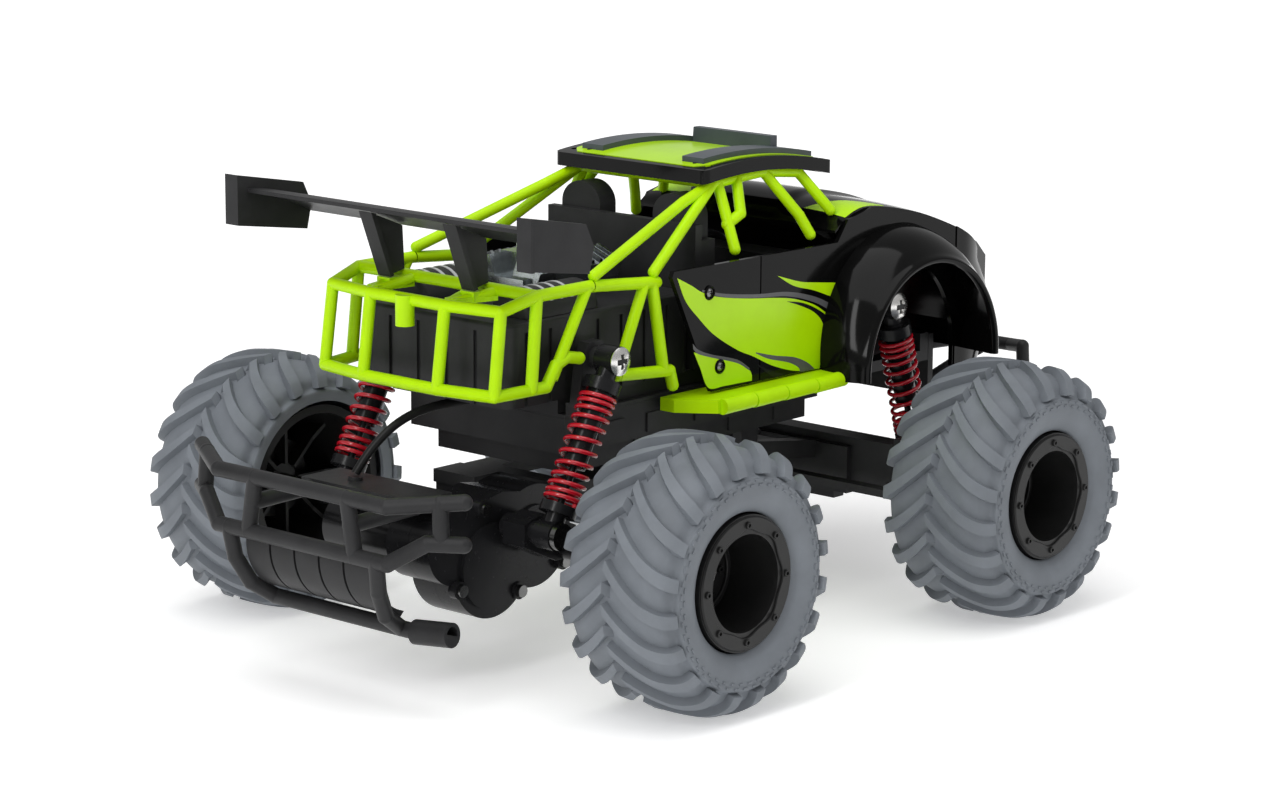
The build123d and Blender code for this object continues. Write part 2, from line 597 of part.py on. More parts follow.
def pivot_lug(pivot, y, top):
    """Ear under the tub that holds one end of a swing arm's hinge pin."""
    x, z = pivot
    side_plate([(x - 6, top), (x - 4.5, z - 3), (x, z - 5.5), (x + 4.5, z - 3), (x + 6, top)], y)


with BuildPart() as chassis_tub:
    block((TUB_LOW_REAR, TUB_X[1]), (-TUB_LOW_Y, TUB_LOW_Y), (TUB_BOTTOM, TUB_STEP_Z))
    block(TUB_X, (-TUB_HIGH_Y, TUB_HIGH_Y), (TUB_STEP_Z, TUB_TOP))
    low_in = TUB_LOW_Y - WALL
    high_in = TUB_HIGH_Y - WALL
    inside_x = (TUB_X[0] + WALL, TUB_X[1] - WALL)
    block((TUB_LOW_REAR + WALL, inside_x[1]), (-low_in, low_in), (TUB_BOTTOM + WALL, TUB_TOP + 1),
          Mode.SUBTRACT)
    block(inside_x, (-high_in, high_in), (TUB_STEP_Z + WALL, TUB_TOP + 1), Mode.SUBTRACT)
    block((TUB_X[1] - 0.1, 122), (-24, 24), (86, TUB_TOP))
    block((TUB_X[1] + WALL, 122 - WALL), (-24 + WALL, 24 - WALL), (86 + WALL, TUB_TOP + 1), Mode.SUBTRACT)
    block((121.9, NOSE_TRAY_X), (-20, 20), (86, 91))
    block((166, NOSE_TRAY_X), (-20, 20), (86, 99))
    for rib_x in (-80, -50, -20, 10, 40):
        for side in (1, -1):
            block((rib_x, rib_x + 16), sorted((side * TUB_LOW_Y, side * (TUB_LOW_Y + 1))), (81, 87.5))
            block((rib_x, rib_x + 16), sorted((side * TUB_HIGH_Y, side * (TUB_HIGH_Y + 1))), (91, 99))
    for pivot, inner, outer in ((REAR_PIVOT, 30.4, 35.4), (FRONT_PIVOT, 24.4, 29.4)):
        for side in (1, -1):
            pivot_lug(pivot, sorted((side * inner, side * outer)), TUB_BOTTOM + 1)
        cross_rod(*pivot, (-outer, outer), PIVOT_PIN_RADIUS)
    block(DOOR_X, (-DOOR_Y, DOOR_Y), (TUB_BOTTOM - 1, TUB_BOTTOM + WALL + 1), Mode.SUBTRACT)
    slot_end = SWITCH_X + KNOB_HALF + SWITCH_TRAVEL + GAP
    block((SWITCH_X - KNOB_HALF - GAP, slot_end), (-2.8, 2.8), (TUB_BOTTOM - 1, TUB_BOTTOM + WALL + 1),
          Mode.SUBTRACT)
finish(chassis_tub, "chassis_tub")

with BuildPart() as battery_door:
    block((DOOR_X[0] + 0.2, DOOR_X[1] - 0.2), (-DOOR_Y + 0.2, DOOR_Y - 0.2), (TUB_BOTTOM, TUB_BOTTOM + WALL))
    for y in (-16, 16):
        with Locations((DOOR_X[1] - 6, y, TUB_BOTTOM)):
            Cylinder(2.4, 2.4, mode=Mode.SUBTRACT)
finish(battery_door, "battery_door")

with BuildPart() as battery_pack:
    for y in (-15.0, 0.0, 15.0):
        rod((-60, y, 89.2), (-10, y, 89.2), 7.2)
    block((-60, -10), (-15, 15), (84, 94))
finish(battery_pack, "battery_pack")

with BuildPart() as receiver_board:
    block((6, 54), (-20, 20), (86, 87.6))
    block((12, 24), (-14, -2), (87.5, 90.5))
    block((32, 40), (2, 12), (87.5, 92.5))
    for y in (8, 14):
        rod((18, y, 87.5), (18, y, 95), 2.5)
    block((SWITCH_X - 5, SWITCH_X + 8), (-4.5, 4.5), (82.0, 86.1))
finish(receiver_board, "receiver_board")

with BuildPart() as power_switch:
    block((SWITCH_X - KNOB_HALF, SWITCH_X + KNOB_HALF), (-2.3, 2.3), (TUB_BOTTOM - 1.6, 81.7))
finish(power_switch, "power_switch")

COVER_X = (TUB_X[0], 58.0)
COVER_Y = 40.0
with BuildPart() as chassis_cover:
    block(COVER_X, (-COVER_Y, COVER_Y), (TUB_TOP + SKIN_GAP, COVER_TOP))
    block(COVER_X, (-TUB_HIGH_Y, TUB_HIGH_Y), (TUB_TOP + SKIN_GAP, TUB_TOP + 1.6))
    inner_x = (COVER_X[0] + WALL, COVER_X[1] - WALL)
    block(inner_x, (-COVER_Y + WALL, COVER_Y - WALL), (TUB_TOP, COVER_TOP - WALL), Mode.SUBTRACT)
    rod((COVER_X[0] - 1.2, -2, 107.2), (COVER_X[0] + 1, -2, 107.2), 3.2)
    rod((COVER_X[0] - 2, -2, 107.2), (COVER_X[0] + 4, -2, 107.2), 1.9, Mode.SUBTRACT)
finish(chassis_cover, "chassis_cover")

TOWER_INNER = 44.4
with BuildPart() as shock_towers:
    for (x, z), foot in ((REAR_SHOCK[0], (-99, -76)), (FRONT_SHOCK[0], (80, 104))):
        inner = TOWER_INNER if x < 0 else 26.0
        low = TUB_TOP + 1.8 if x < 0 else TUB_TOP + SKIN_GAP
        for side in (1, -1):
            plate = [(foot[0], low), (foot[0], low + 5), (x - 7.4, z), (x - 4, z + 6.4), (x + 4, z + 6.4),
                     (x + 7.4, z), (foot[1], low + 5), (foot[1], low)]
            side_plate(plate, sorted((side * 46.5, side * 51.5)))
            block(foot, sorted((side * (inner - 3 if x < 0 else 8.0), side * 48)), (low, low + 5))
            shock_stub(x, z, side)
            cross_rod(x, z, sorted((side * 47, side * 51.5)), 6.6)
    for side in (1, -1):
        block((-99, -76), sorted((side * 40.9, side * TOWER_INNER)), (TUB_TOP + 1.7, TUB_TOP + 8),
              Mode.SUBTRACT)
finish(shock_towers, "shock_towers")

with BuildPart() as shock_screws:
    for x, z in (REAR_SHOCK[0], FRONT_SHOCK[0]):
        for side in (1, -1):
            cross_rod(x, z, sorted((side * (PIN_END + 0.1), side * (PIN_END + 1.6))), 5.6)
            cross_rod(x, z, sorted((side * (PIN_END + 1.0), side * (PIN_END + SCREW_HEAD))), 4.2)
            cross_rod(x, z, sorted((side * (PIN_END - 7), side * (PIN_END + 1))), 1.15)
            face = side * (PIN_END + SCREW_HEAD)
            block((x - 2.6, x + 2.6), sorted((face - side * 1.2, face + side)), (z - 0.6, z + 0.6),
                  Mode.SUBTRACT)
            block((x - 0.6, x + 0.6), sorted((face - side * 1.2, face + side)), (z - 2.6, z + 2.6),
                  Mode.SUBTRACT)
finish(shock_screws, "shock_screws")

# ---------------------------------------------------------------- motor lead
LEAD_RADIUS = 1.8
LEAD_ROUTE = [(-100.4, -2, 107.2), (-121.0, 1.0, 108.0), (-142.0, 5.0, 104.5), (-157.0, 9.0, 93.0),
              (-162.0, 12.0, 83.4)]


def lead_radii(route):
    """Arc radius at each inner point: 0.45 of its shorter run over the tangent of half its turn."""
    radii = []
    for before, corner, after in zip(route, route[1:], route[2:]):
        run_in = Vector(*corner) - Vector(*before)
        run_out = Vector(*after) - Vector(*corner)
        half_turn = math.radians(run_in.get_angle(run_out)) / 2
        radii.append(0.45 * min(run_in.length, run_out.length) / math.tan(half_turn))
    return radii


with BuildPart() as motor_lead:
    with BuildLine() as lead_path:
        FilletPolyline(*LEAD_ROUTE, radius=lead_radii(LEAD_ROUTE))
    with BuildSketch(Plane(origin=LEAD_ROUTE[0], z_dir=lead_path.line % 0)):
        Circle(LEAD_RADIUS)
    sweep()
finish(motor_lead, "motor_lead")
print("motor lead radii", [round(radius, 1) for radius in lead_radii(LEAD_ROUTE)])
lead_length = sum(edge.length for edge in lead_path.edges())
lead_volume = lead_length * math.pi * LEAD_RADIUS ** 2
print("motor lead length", round(lead_length, 1), "volume ratio",
      round(motor_lead.part.volume / lead_volume, 4))

# ---------------------------------------------------------------- bed box, engine and cab
BED_X = (-130.0, -20.0)
BED_Y = 42.5
FLUTES_SIDE = (-120, -106, -92, -78, -64, -50, -36)
with BuildPart() as bed_tub:
    block(BED_X, (-BED_Y, BED_Y), (COVER_TOP + SKIN_GAP, BED_TOP))
    corners = bed_tub.edges().filter_by(Axis.Z)
    fillet(corners, 6.0)
    rim = bed_tub.faces().sort_by(Axis.Z)[-1]
    fillet(rim.edges(), 1.6)
    block((BED_X[0] + WALL, BED_X[1] - WALL), (-BED_Y + WALL, BED_Y - WALL), (COVER_TOP, BED_TOP - WALL),
          Mode.SUBTRACT)
    for y in (-24, -8, 8, 24):
        block((BED_X[0] - 1, BED_X[0] + 1.1), (y - 1, y + 1), (COVER_TOP - 1, BED_TOP - 4), Mode.SUBTRACT)
    for x in FLUTES_SIDE:
        for side in (1, -1):
            block((x - 1, x + 1), sorted((side * (BED_Y - 1.1), side * (BED_Y + 1))), (COVER_TOP - 1,
                                                                                       BED_TOP - 4),
                  Mode.SUBTRACT)
    block((-97, -78), (-52, -41.5), (100, 136), Mode.SUBTRACT)
    block((-97, -78), (41.5, 52), (100, 136), Mode.SUBTRACT)
finish(bed_tub, "bed_tub")

with BuildPart() as bed_humps:
    for side in (1, -1):
        with BuildSketch(Plane.YZ.offset(-116)) as hump:
            with Locations((side * 29, BED_TOP + 0.2)):
                Ellipse(11.5, 11.0)
            with Locations((side * 29, BED_TOP - 10)):
                Rectangle(30, 20.4, mode=Mode.SUBTRACT)
        extrude(hump.sketch, amount=42)
    fillet(bed_humps.edges().filter_by(Axis.X,
                                       reverse=True).filter_by(lambda e: e.center().Z > BED_TOP + 3), 3.0)
finish(bed_humps, "bed_humps")

ENGINE_X = (-92.0, -34.0)
with BuildPart() as toy_engine:
    block(ENGINE_X, (-14, 14), (BED_TOP + SKIN_GAP, 156))
    for side in (1, -1):
        head = [(side * 5, 156), (side * 18, 152), (side * 21, 159), (side * 8, 164)]
        with BuildSketch(Plane.YZ.offset(ENGINE_X[0] + 3)) as head_outline:
            Polygon(*head, align=None)
        extrude(head_outline.sketch, amount=ENGINE_X[1] - ENGINE_X[0] - 8)
    block((ENGINE_X[0] + 10, ENGINE_X[1] - 14), (-8, 8), (155, 165))
    for x in (-76, -66, -56):
        rod((x, 0, 164), (x, 0, 168), 3.6)
    rod((ENGINE_X[1] - 1, 0, 154), (ENGINE_X[1] + 5, 0, 154), 6.0)
finish(toy_engine, "toy_engine")

BULKHEAD_X = (-17.5, -13.5)
with BuildPart() as cab_interior:
    block((BULKHEAD_X[1] - 1, 60), (-52, 52), (COVER_TOP + SKIN_GAP, COVER_TOP + 2.4))
    block(BULKHEAD_X, (-42, 42), (COVER_TOP + SKIN_GAP, 173))
    for y in (-26.0, 26.0):
        block((-14, -4), (y - 15, y + 15), (113, 166))
        with BuildSketch(Plane.YZ.offset(-14)) as headrest:
            with Locations((y, 165)):
                Rectangle(22, 20)
            with Locations((y, 175)):
                Ellipse(11, 9.5)
        extrude(headrest.sketch, amount=10)
        block((-5, 26), (y - 15, y + 15), (113, 126))
        rod((-4, y - 14, 126), (-4, y + 14, 126), 3.0)
    block((44, 60), (-50, 50), (113, 152))
    block((30, 60), (-5, 5), (113, 134))
    rod((45, 26, 146), (36, 26, 149), 2.2)
    with BuildSketch(Plane(origin=(36, 26, 149), z_dir=(-9, 0, 3))) as wheel_ring:
        Circle(10.5)
        Circle(8.2, mode=Mode.SUBTRACT)
        Rectangle(18, 2.2)
    extrude(wheel_ring.sketch, amount=2.2)
finish(cab_interior, "cab_interior")

# ---------------------------------------------------------------- body shell
SKIN = 2.2
SHELL_Y = 58.0
ARCH_CENTRE = (96.0, 103.5)
ARCH_RADIUS = 44.0
DOOR_CRACK_X = 6.0
SHELL_SIDE = [(-25, 106), (-50, 157), (-49, 159.4), (57, 158.8), (64, 168), (80, 171.5), (110, 166),
              (138, 157), (163, 146), (176, 137), (184, 124), (183, 104), (178, 93), (60, 93), (52, 106)]
SHELL_CORE = [(-60, 90), (-60, 175), (57, 175), (62, 165.5), (80, 169.2), (109.5, 163.8), (137.3, 154.9),
              (162, 144), (174.3, 135.4), (181.8, 123.6), (180.8, 104.4), (176, 80), (60, 80), (50, 90)]


def shell_plan(inset):
    """Outline of the body seen from above, tapering to the nose, smaller by the inset."""
    side = SHELL_Y - inset
    points = [(-70, side), (146, side), (174, 50 - inset), (186 - inset, 38 - inset)]
    return points + [(x, -y) for x, y in reversed(points)]


def extruded_side(points, half):
    with BuildSketch(Plane.XZ.offset(-half)) as outline:
        Polygon(*points, align=None)
    extrude(outline.sketch, amount=2 * half)


with BuildPart() as shell_core:
    extruded_side(SHELL_CORE, SHELL_Y)
    floor_plate(shell_plan(SKIN), (70, 190), Mode.INTERSECT)


def fender_face(y, outer, inner):
    """Arch shaped face at one Y: between an outer arc and an inner arc through three points each."""
    with BuildSketch(Plane.XZ.offset(-y)) as face:
        with BuildLine():
            top = ThreePointArc(*outer)
            under = ThreePointArc(*reversed(inner))
            Line(top @ 1, under @ 0)
            Line(under @ 1, top @ 0)
        make_face()
    return face.sketch


FENDER_FOOT = 106.0
with BuildPart() as body_shell:
    extruded_side(SHELL_SIDE, SHELL_Y)
    floor_plate(shell_plan(0), (70, 190), Mode.INTERSECT)
    add(shell_core.part, mode=Mode.SUBTRACT)
    cross_rod(*ARCH_CENTRE, (-70, 70), ARCH_RADIUS, Mode.SUBTRACT)
    block((52, 140), (-70, 70), (80, ARCH_CENTRE[1]), Mode.SUBTRACT)
    for side in (1, -1):
        root_outer = [(47.0, FENDER_FOOT), (95.5, 162.5), (147.0, FENDER_FOOT)]
        root_inner = [(50.5, FENDER_FOOT), (95.5, 159.0), (143.5, FENDER_FOOT)]
        lip_outer = [(49.0, FENDER_FOOT), (95.5, 150.5), (143.0, FENDER_FOOT)]
        lip_inner = [(52.2, FENDER_FOOT), (95.5, 147.5), (139.8, FENDER_FOOT)]
        root_face = fender_face(side * (SHELL_Y - 1.0), root_outer, root_inner)
        lip_face = fender_face(side * 80.0, lip_outer, lip_inner)
        loft([root_face, lip_face], ruled=True)
    for x, z in ((-27, 148), (-20, 116)):
        cross_rod(x, z, (-70, 70), 1.4, Mode.SUBTRACT)
    for side in (1, -1):
        crack = sorted((side * (SHELL_Y - 0.7), side * (SHELL_Y + 1)))
        block((DOOR_CRACK_X - 0.4, DOOR_CRACK_X + 0.4), crack, (104, 160), Mode.SUBTRACT)
finish(body_shell, "body_shell")

with BuildPart() as headlamps:
    for side in (1, -1):
        rod((184.4, side * 26, 117), (188, side * 26, 117), 7.5)
finish(headlamps, "headlamps")

with BuildPart() as body_screws:
    for x, z in ((-27, 148), (-20, 116)):
        for side in (1, -1):
            cross_rod(x, z, sorted((side * (SHELL_Y - 6), side * (SHELL_Y + 0.5))), 1.3)
            cross_rod(x, z, sorted((side * (SHELL_Y + 0.1), side * (SHELL_Y + 1.5))), 2.5)
finish(body_screws, "body_screws")

# ---------------------------------------------------------------- roof
ROOF_X = (-12.5, 71.5)
ROOF_Y = 43.0


def roof_face(lower, upper, x, y):
    """Side view of the roof between two gently arched lines, from their z at rear, middle and front."""
    with BuildSketch(Plane.XZ.offset(-y)) as face:
        with BuildLine():
            top = ThreePointArc((x[0], upper[0]), (30, upper[1]), (x[1], upper[2]))
            under = ThreePointArc((x[1], lower[2]), (30, lower[1]), (x[0], lower[0]))
            Line(top @ 1, under @ 0)
            Line(under @ 1, top @ 0)
        make_face()
    return face.sketch


ROOF_TOP = (195.4, 197.2, 191.4)
STRIP_THICK = 2.6


def raised(line, height):
    return tuple(z + height for z in line)


with BuildPart() as roof_panel:
    extrude(roof_face((189.6, 191.6, 185.4), ROOF_TOP, ROOF_X, ROOF_Y), amount=2 * ROOF_Y)
    fillet(roof_panel.edges().filter_by(Axis.Z), 3.0)
    hollow_x = (ROOF_X[0] + WALL, ROOF_X[1] - WALL)
    hollow_y = ROOF_Y - WALL
    extrude(roof_face((185, 185, 180), (193.2, 195.0, 189.4), hollow_x, hollow_y), amount=2 * hollow_y,
            mode=Mode.SUBTRACT)
    for y in (-38, 38):
        rod((-5, y, 185), (-5, y, 200), 1.6, Mode.SUBTRACT)
finish(roof_panel, "roof_panel")

STRIP_X = (-4.0, 67.0)
STRIP_Y = (22.5, 34.5)
with BuildPart() as roof_trim:
    for side in (1, -1):
        strip_y = sorted((side * STRIP_Y[0], side * STRIP_Y[1]))
        strip = roof_face(raised(ROOF_TOP, SKIN_GAP), raised(ROOF_TOP, STRIP_THICK), ROOF_X, strip_y[1])
        extrude(strip, amount=STRIP_Y[1] - STRIP_Y[0])
    block((ROOF_X[0] - 1, STRIP_X[0]), (-40, 40), (180, 210), Mode.SUBTRACT)
    block((STRIP_X[1], ROOF_X[1] + 1), (-40, 40), (180, 210), Mode.SUBTRACT)
    side_plate([(53.5, 190), (58.5, 190), (58.5, 201.5), (54.5, 201.5)], (-22.2, 22.2))
    extrude(roof_face((170, 171, 170), raised(ROOF_TOP, SKIN_GAP), ROOF_X, 22.3), amount=44.6,
            mode=Mode.SUBTRACT)
finish(roof_trim, "roof_trim")

# ---------------------------------------------------------------- wing
BLADE_Y = 79.0
with BuildPart() as wing_blade:
    with BuildSketch(Plane.XZ.offset(-BLADE_Y)) as aerofoil:
        with BuildLine():
            upper = ThreePointArc((-123.5, 181.0), (-139.0, 188.2), (-157.5, 191.2))
            under = ThreePointArc((-157.5, 189.6), (-139.5, 185.2), (-122.5, 178.2))
            Line(upper @ 1, under @ 0)
            Line(under @ 1, upper @ 0)
        make_face()
    extrude(aerofoil.sketch, amount=2 * BLADE_Y)
    plate_outline = [(-163, 176.4), (-163, 197.2), (-126.5, 190.6), (-122, 181.5), (-124.5, 170.8)]
    for side in (1, -1):
        side_plate(plate_outline, sorted((side * (BLADE_Y - 0.5), side * (BLADE_Y + 1.7))))
        side_plate([(-163, 176.4), (-163, 197.2), (-161, 196.8), (-161, 176.2)],
                   sorted((side * BLADE_Y, side * (BLADE_Y + 7.0))))
finish(wing_blade, "wing_blade")

WING_STRUT_Y = 23.7
RAIL_RADIUS = 2.5
with BuildPart() as wing_struts:
    for side in (1, -1):
        outline = [(-133.5, 158.6), (-123.5, 160.6), (-124.5, 178.5), (-136.0, 183.2), (-144.2, 186.2)]
        side_plate(outline, sorted((side * (WING_STRUT_Y - 1.4), side * (WING_STRUT_Y + 1.4))))
        rear_edge = [(-133.5, 158.6), (-131.4, 159.0), (-141.4, 185.4), (-144.2, 186.2)]
        side_plate(rear_edge, sorted((side * (WING_STRUT_Y - 3.6), side * (WING_STRUT_Y + 3.6))))
finish(wing_struts, "wing_struts")

# ---------------------------------------------------------------- tube cage
RAIL_CORNER = (-139.6, 47.5, 153.5)
RAIL_CHAMFER = (-122.2, 50.4, 158.0)
RAIL_MID = (-91.0, 50.4, 158.0)
RAIL_FRONT = (-51.5, 50.4, 154.6)
REAR_BOW = (-144.0, 21.0, 153.5)
LOW_CORNER = (-144.0, 48.1, 120.3)
LOW_BOW = (-148.5, 21.0, 120.3)
ARCH_START = (-118.0, 51.5, 121.0)
ARCH_TOP = (-106.0, 51.5, 131.5)
ARCH_END = (-98.8, 51.5, 130.0)
LOW_RAIL = [(-76.0, 51.5, 119.5), (-44.0, 51.5, 117.0)]
with BuildPart() as bed_frame:
    for side in (1, -1):
        left_runs = [
            [REAR_BOW, RAIL_CORNER, RAIL_CHAMFER, RAIL_MID, RAIL_FRONT],
            [LOW_BOW, LOW_CORNER, ARCH_START, (-112.5, 51.5, 129.0), ARCH_TOP, ARCH_END],
            LOW_RAIL,
            [RAIL_CORNER, LOW_CORNER],
            [REAR_BOW, LOW_BOW],
            [RAIL_CHAMFER, (-126.0, 51.0, 121.0)],
            [(-54.0, 50.4, 154.8), (-48.0, 51.5, 117.4)],
            [(-44.0, 51.5, 117.0), (-42.0, 51.5, 110.5)],
        ]
        for run in left_runs:
            tube_run([(x, side * y, z) for x, y, z in run], RAIL_RADIUS)
        rod((-143.0, side * 21, 154.0), (-122.2, side * 29, 157.6), 2.0)
        rod((-143.0, side * 21, 154.0), (-122.2, side * 17, 157.6), 2.0)
        gusset = [(-142, side * 19), (-142, side * 25), (-123, side * 30), (-123, side * 17)]
        floor_plate(gusset, (153.9, 156.2))
    tube_run(across(REAR_BOW), RAIL_RADIUS)
    tube_run(across(LOW_BOW), RAIL_RADIUS)
    tube_run(across(RAIL_CHAMFER), RAIL_RADIUS)
    rod((-145.4, 0, 155.5), (-145.4, 0, 143.0), 3.9)
    for side in (1, -1):
        block((-134.2, -122.8), sorted((side * 20, side * 27.4)), (154.0, 158.2))
finish(bed_frame, "bed_frame")

CAGE_RADIUS = 2.35
with BuildPart() as roll_cage:
    for side in (1, -1):
        left_runs = [
            [(-2.0, 37.8, 188.6), (-22.0, 39.0, 183.0), (-89.0, 50.4, 162.0)],
            [(-2.0, 37.8, 188.6), (-53.0, 50.4, 159.0)],
            [(1.0, 37.8, 188.6), (-1.5, 50.0, 162.0)],
            [(13.0, 37.8, 190.0), (6.0, 46.5, 176.0), (-1.0, 45.0, 172.0)],
            [(31.0, 37.8, 190.0), (44.0, 47.0, 171.0), (48.0, 50.0, 162.5)],
            [(54.0, 37.8, 187.6), (64.0, 48.0, 171.0)],
            [(-2.0, 37.8, 188.6), (30.0, 37.8, 190.3), (54.0, 37.8, 187.6)],
        ]
        for run in left_runs:
            tube_run([(x, side * y, z) for x, y, z in run], CAGE_RADIUS)
    tube_run(across((-2.0, 37.8, 188.6)), CAGE_RADIUS)
    tube_run(across((54.0, 37.8, 187.6)), CAGE_RADIUS)
finish(roll_cage, "roll_cage")

BOARD_Z = (99.5, 105.0)
with BuildPart() as running_boards:
    for side in (1, -1):
        deck = [(-44, side * 46.5), (-44, side * 54), (-33, side * 68.5), (48, side * 68.5), (48,
                                                                                              side * 46.5)]
        floor_plate(deck, BOARD_Z)
        for start in (-31.0, -11.0, 9.0, 29.0):
            rod((start, side * 69.0, 102.1), (start + 19.2, side * 69.0, 102.4), 3.3)
            rod((start + 19.0, side * 69.0, 102.3), (start + 20.2, side * 69.0, 102.3), 2.8)
finish(running_boards, "running_boards")

# ---------------------------------------------------------------- front bumper
FRONT_RADIUS = 3.0
FRONT_BAR_X = LENGTH_HALF - FRONT_RADIUS * 1.02
with BuildPart() as front_bumper:
    for side in (1, -1):
        run = [(FRONT_BAR_X, 44.0, 92.0), (197.5, 55.0, 93.5), (197.0, 56.0, 84.0)]
        tube_run([(x, side * y, z) for x, y, z in run], FRONT_RADIUS)
        rod((175.0, side * 14, 92.0), (FRONT_BAR_X + 0.4, side * 20, 92.0), FRONT_RADIUS - 0.3)
        rod((175.0, side * 15, 74.0), (FRONT_BAR_X + 0.4, side * 30, 91.6), FRONT_RADIUS - 0.3)
    tube_run(across((FRONT_BAR_X, 44.0, 92.0)), FRONT_RADIUS)
    block((172.3, 176), (-20, 20), (69, 98))
finish(front_bumper, "front_bumper")
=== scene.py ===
"""Looks of a toy monster truck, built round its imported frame. Sizes in the shapes below are in millimetres."""

import json
import math

import bmesh
import bpy
import numpy as np
from mathutils import Matrix, Vector


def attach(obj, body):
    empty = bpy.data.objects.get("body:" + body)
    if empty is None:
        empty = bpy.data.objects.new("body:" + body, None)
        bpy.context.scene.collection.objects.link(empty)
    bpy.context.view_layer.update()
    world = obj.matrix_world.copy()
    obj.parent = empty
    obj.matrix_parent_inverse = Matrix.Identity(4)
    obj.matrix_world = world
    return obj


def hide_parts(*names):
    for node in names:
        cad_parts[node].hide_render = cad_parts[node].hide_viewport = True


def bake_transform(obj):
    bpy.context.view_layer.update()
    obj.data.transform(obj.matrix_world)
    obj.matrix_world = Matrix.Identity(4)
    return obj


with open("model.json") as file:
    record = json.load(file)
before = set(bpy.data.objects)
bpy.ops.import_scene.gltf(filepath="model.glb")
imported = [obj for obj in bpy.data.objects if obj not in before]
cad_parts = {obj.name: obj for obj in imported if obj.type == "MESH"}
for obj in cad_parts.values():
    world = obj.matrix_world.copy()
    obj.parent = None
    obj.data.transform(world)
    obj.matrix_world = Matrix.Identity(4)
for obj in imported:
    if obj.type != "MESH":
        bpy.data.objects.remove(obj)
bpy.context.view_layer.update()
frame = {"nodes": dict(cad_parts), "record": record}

bl_info = {
    "name": "Toy monster truck looks",
    "version": (1, 0, 0),
    "blender": (4, 5, 0),
    "location": "3D View > Sidebar > Truck",
    "description": "Tyres, springs, body skin, decals, hardware and studio for a toy monster truck",
    "category": "Object",
}

MM = 0.001
SIDES = {"left": 1, "right": -1}
WHEEL_MIDDLE = 120.0
AXLE_Z = 55.0
AXLE_X = {"rear": -105.5, "front": 95.5}
SHOCKS = {"rear": ((-89.0, 129.0), (-125.0, 63.5)), "front": ((91.5, 127.3), (112.5, 56.0))}
SHOCK_Y = 60.0
NODE_SLOT = {part["node"]: part["material_slot"] for part in frame["record"]["subparts"]}


# ---------------------------------------------------------------- sizes and colours a user may change
class TyreSizes(bpy.types.PropertyGroup):
    radius: bpy.props.FloatProperty(
        name="Radius", description="Radius at the lug tops", default=0.055, unit="LENGTH")
    width: bpy.props.FloatProperty(
        name="Width", description="Width across the shoulders", default=0.058, unit="LENGTH")
    lugs: bpy.props.IntProperty(
        name="Lugs", description="Tread bars on each half of the tyre", default=20, min=8)
    groove: bpy.props.FloatProperty(
        name="Groove depth", description="Depth between two tread bars", default=0.0034, unit="LENGTH")
    sweep: bpy.props.FloatProperty(
        name="Sweep", description="How many bar spacings a bar turns on its way to the sidewall", default=1.2)


class SpringSizes(bpy.types.PropertyGroup):
    wire: bpy.props.FloatProperty(
        name="Wire", description="Thickness of the spring wire", default=0.0018, unit="LENGTH")
    coil: bpy.props.FloatProperty(
        name="Coil radius", description="Radius at the middle of the wire", default=0.0070, unit="LENGTH")
    turns: bpy.props.FloatProperty(name="Turns", description="Turns of wire in each spring", default=12.5)


class PaintColours(bpy.types.PropertyGroup):
    lime: bpy.props.FloatVectorProperty(
        name="Lime", description="Tubes, boards and decals", default=(0.45, 0.77, 0.001), subtype="COLOR")
    tyre: bpy.props.FloatVectorProperty(
        name="Tyre", description="Grey tyre rubber", default=(0.165, 0.181, 0.202), subtype="COLOR")
    spring: bpy.props.FloatVectorProperty(
        name="Spring", description="Red lacquer on the springs", default=(0.48, 0.006, 0.018), subtype="COLOR")
    black: bpy.props.FloatVectorProperty(
        name="Black", description="Moulded black plastic", default=(0.024, 0.024, 0.025), subtype="COLOR")


class StageSizes(bpy.types.PropertyGroup):
    lens: bpy.props.FloatProperty(name="Lens", description="Focal length in millimetres", default=104.6)
    key_power: bpy.props.FloatProperty(
        name="Key light", description="Power of the large overhead light", default=13.0, unit="POWER")


GROUPS = {"truck_tyre": TyreSizes, "truck_spring": SpringSizes, "truck_paint": PaintColours,
          "truck_stage": StageSizes}


# ---------------------------------------------------------------- mesh making
def mesh_piece(name, points, faces, sharp_degrees=35.0):
    """Mesh of points in millimetres and equal-sized faces, turned to face outwards if its volume is negative.

    The volume is the sum over triangles fanned from each face's first corner of a . (b x c) / 6."""
    points = np.asarray(points, float) * MM
    faces = np.asarray(faces, np.int32)
    volume = 0.0
    for corner in range(1, faces.shape[1] - 1):
        a, b, c = points[faces[:, 0]], points[faces[:, corner]], points[faces[:, corner + 1]]
        volume += np.einsum("ij,ij->", a, np.cross(b, c))
    if volume < 0:
        faces = faces[:, ::-1]
    mesh = bpy.data.meshes.new(name)
    mesh.vertices.add(len(points))
    mesh.vertices.foreach_set("co", points.astype(np.float32).ravel())
    mesh.loops.add(faces.size)
    mesh.loops.foreach_set("vertex_index", faces.ravel())
    mesh.polygons.add(len(faces))
    mesh.polygons.foreach_set("loop_start", np.arange(0, faces.size, faces.shape[1], dtype=np.int32))
    mesh.update(calc_edges=True)
    mesh.validate()
    mesh.polygons.foreach_set("use_smooth", np.ones(len(mesh.polygons), bool))
    mesh.set_sharp_from_angle(angle=math.radians(sharp_degrees))
    obj = bpy.data.objects.new(name, mesh)
    bpy.context.scene.collection.objects.link(obj)
    return obj


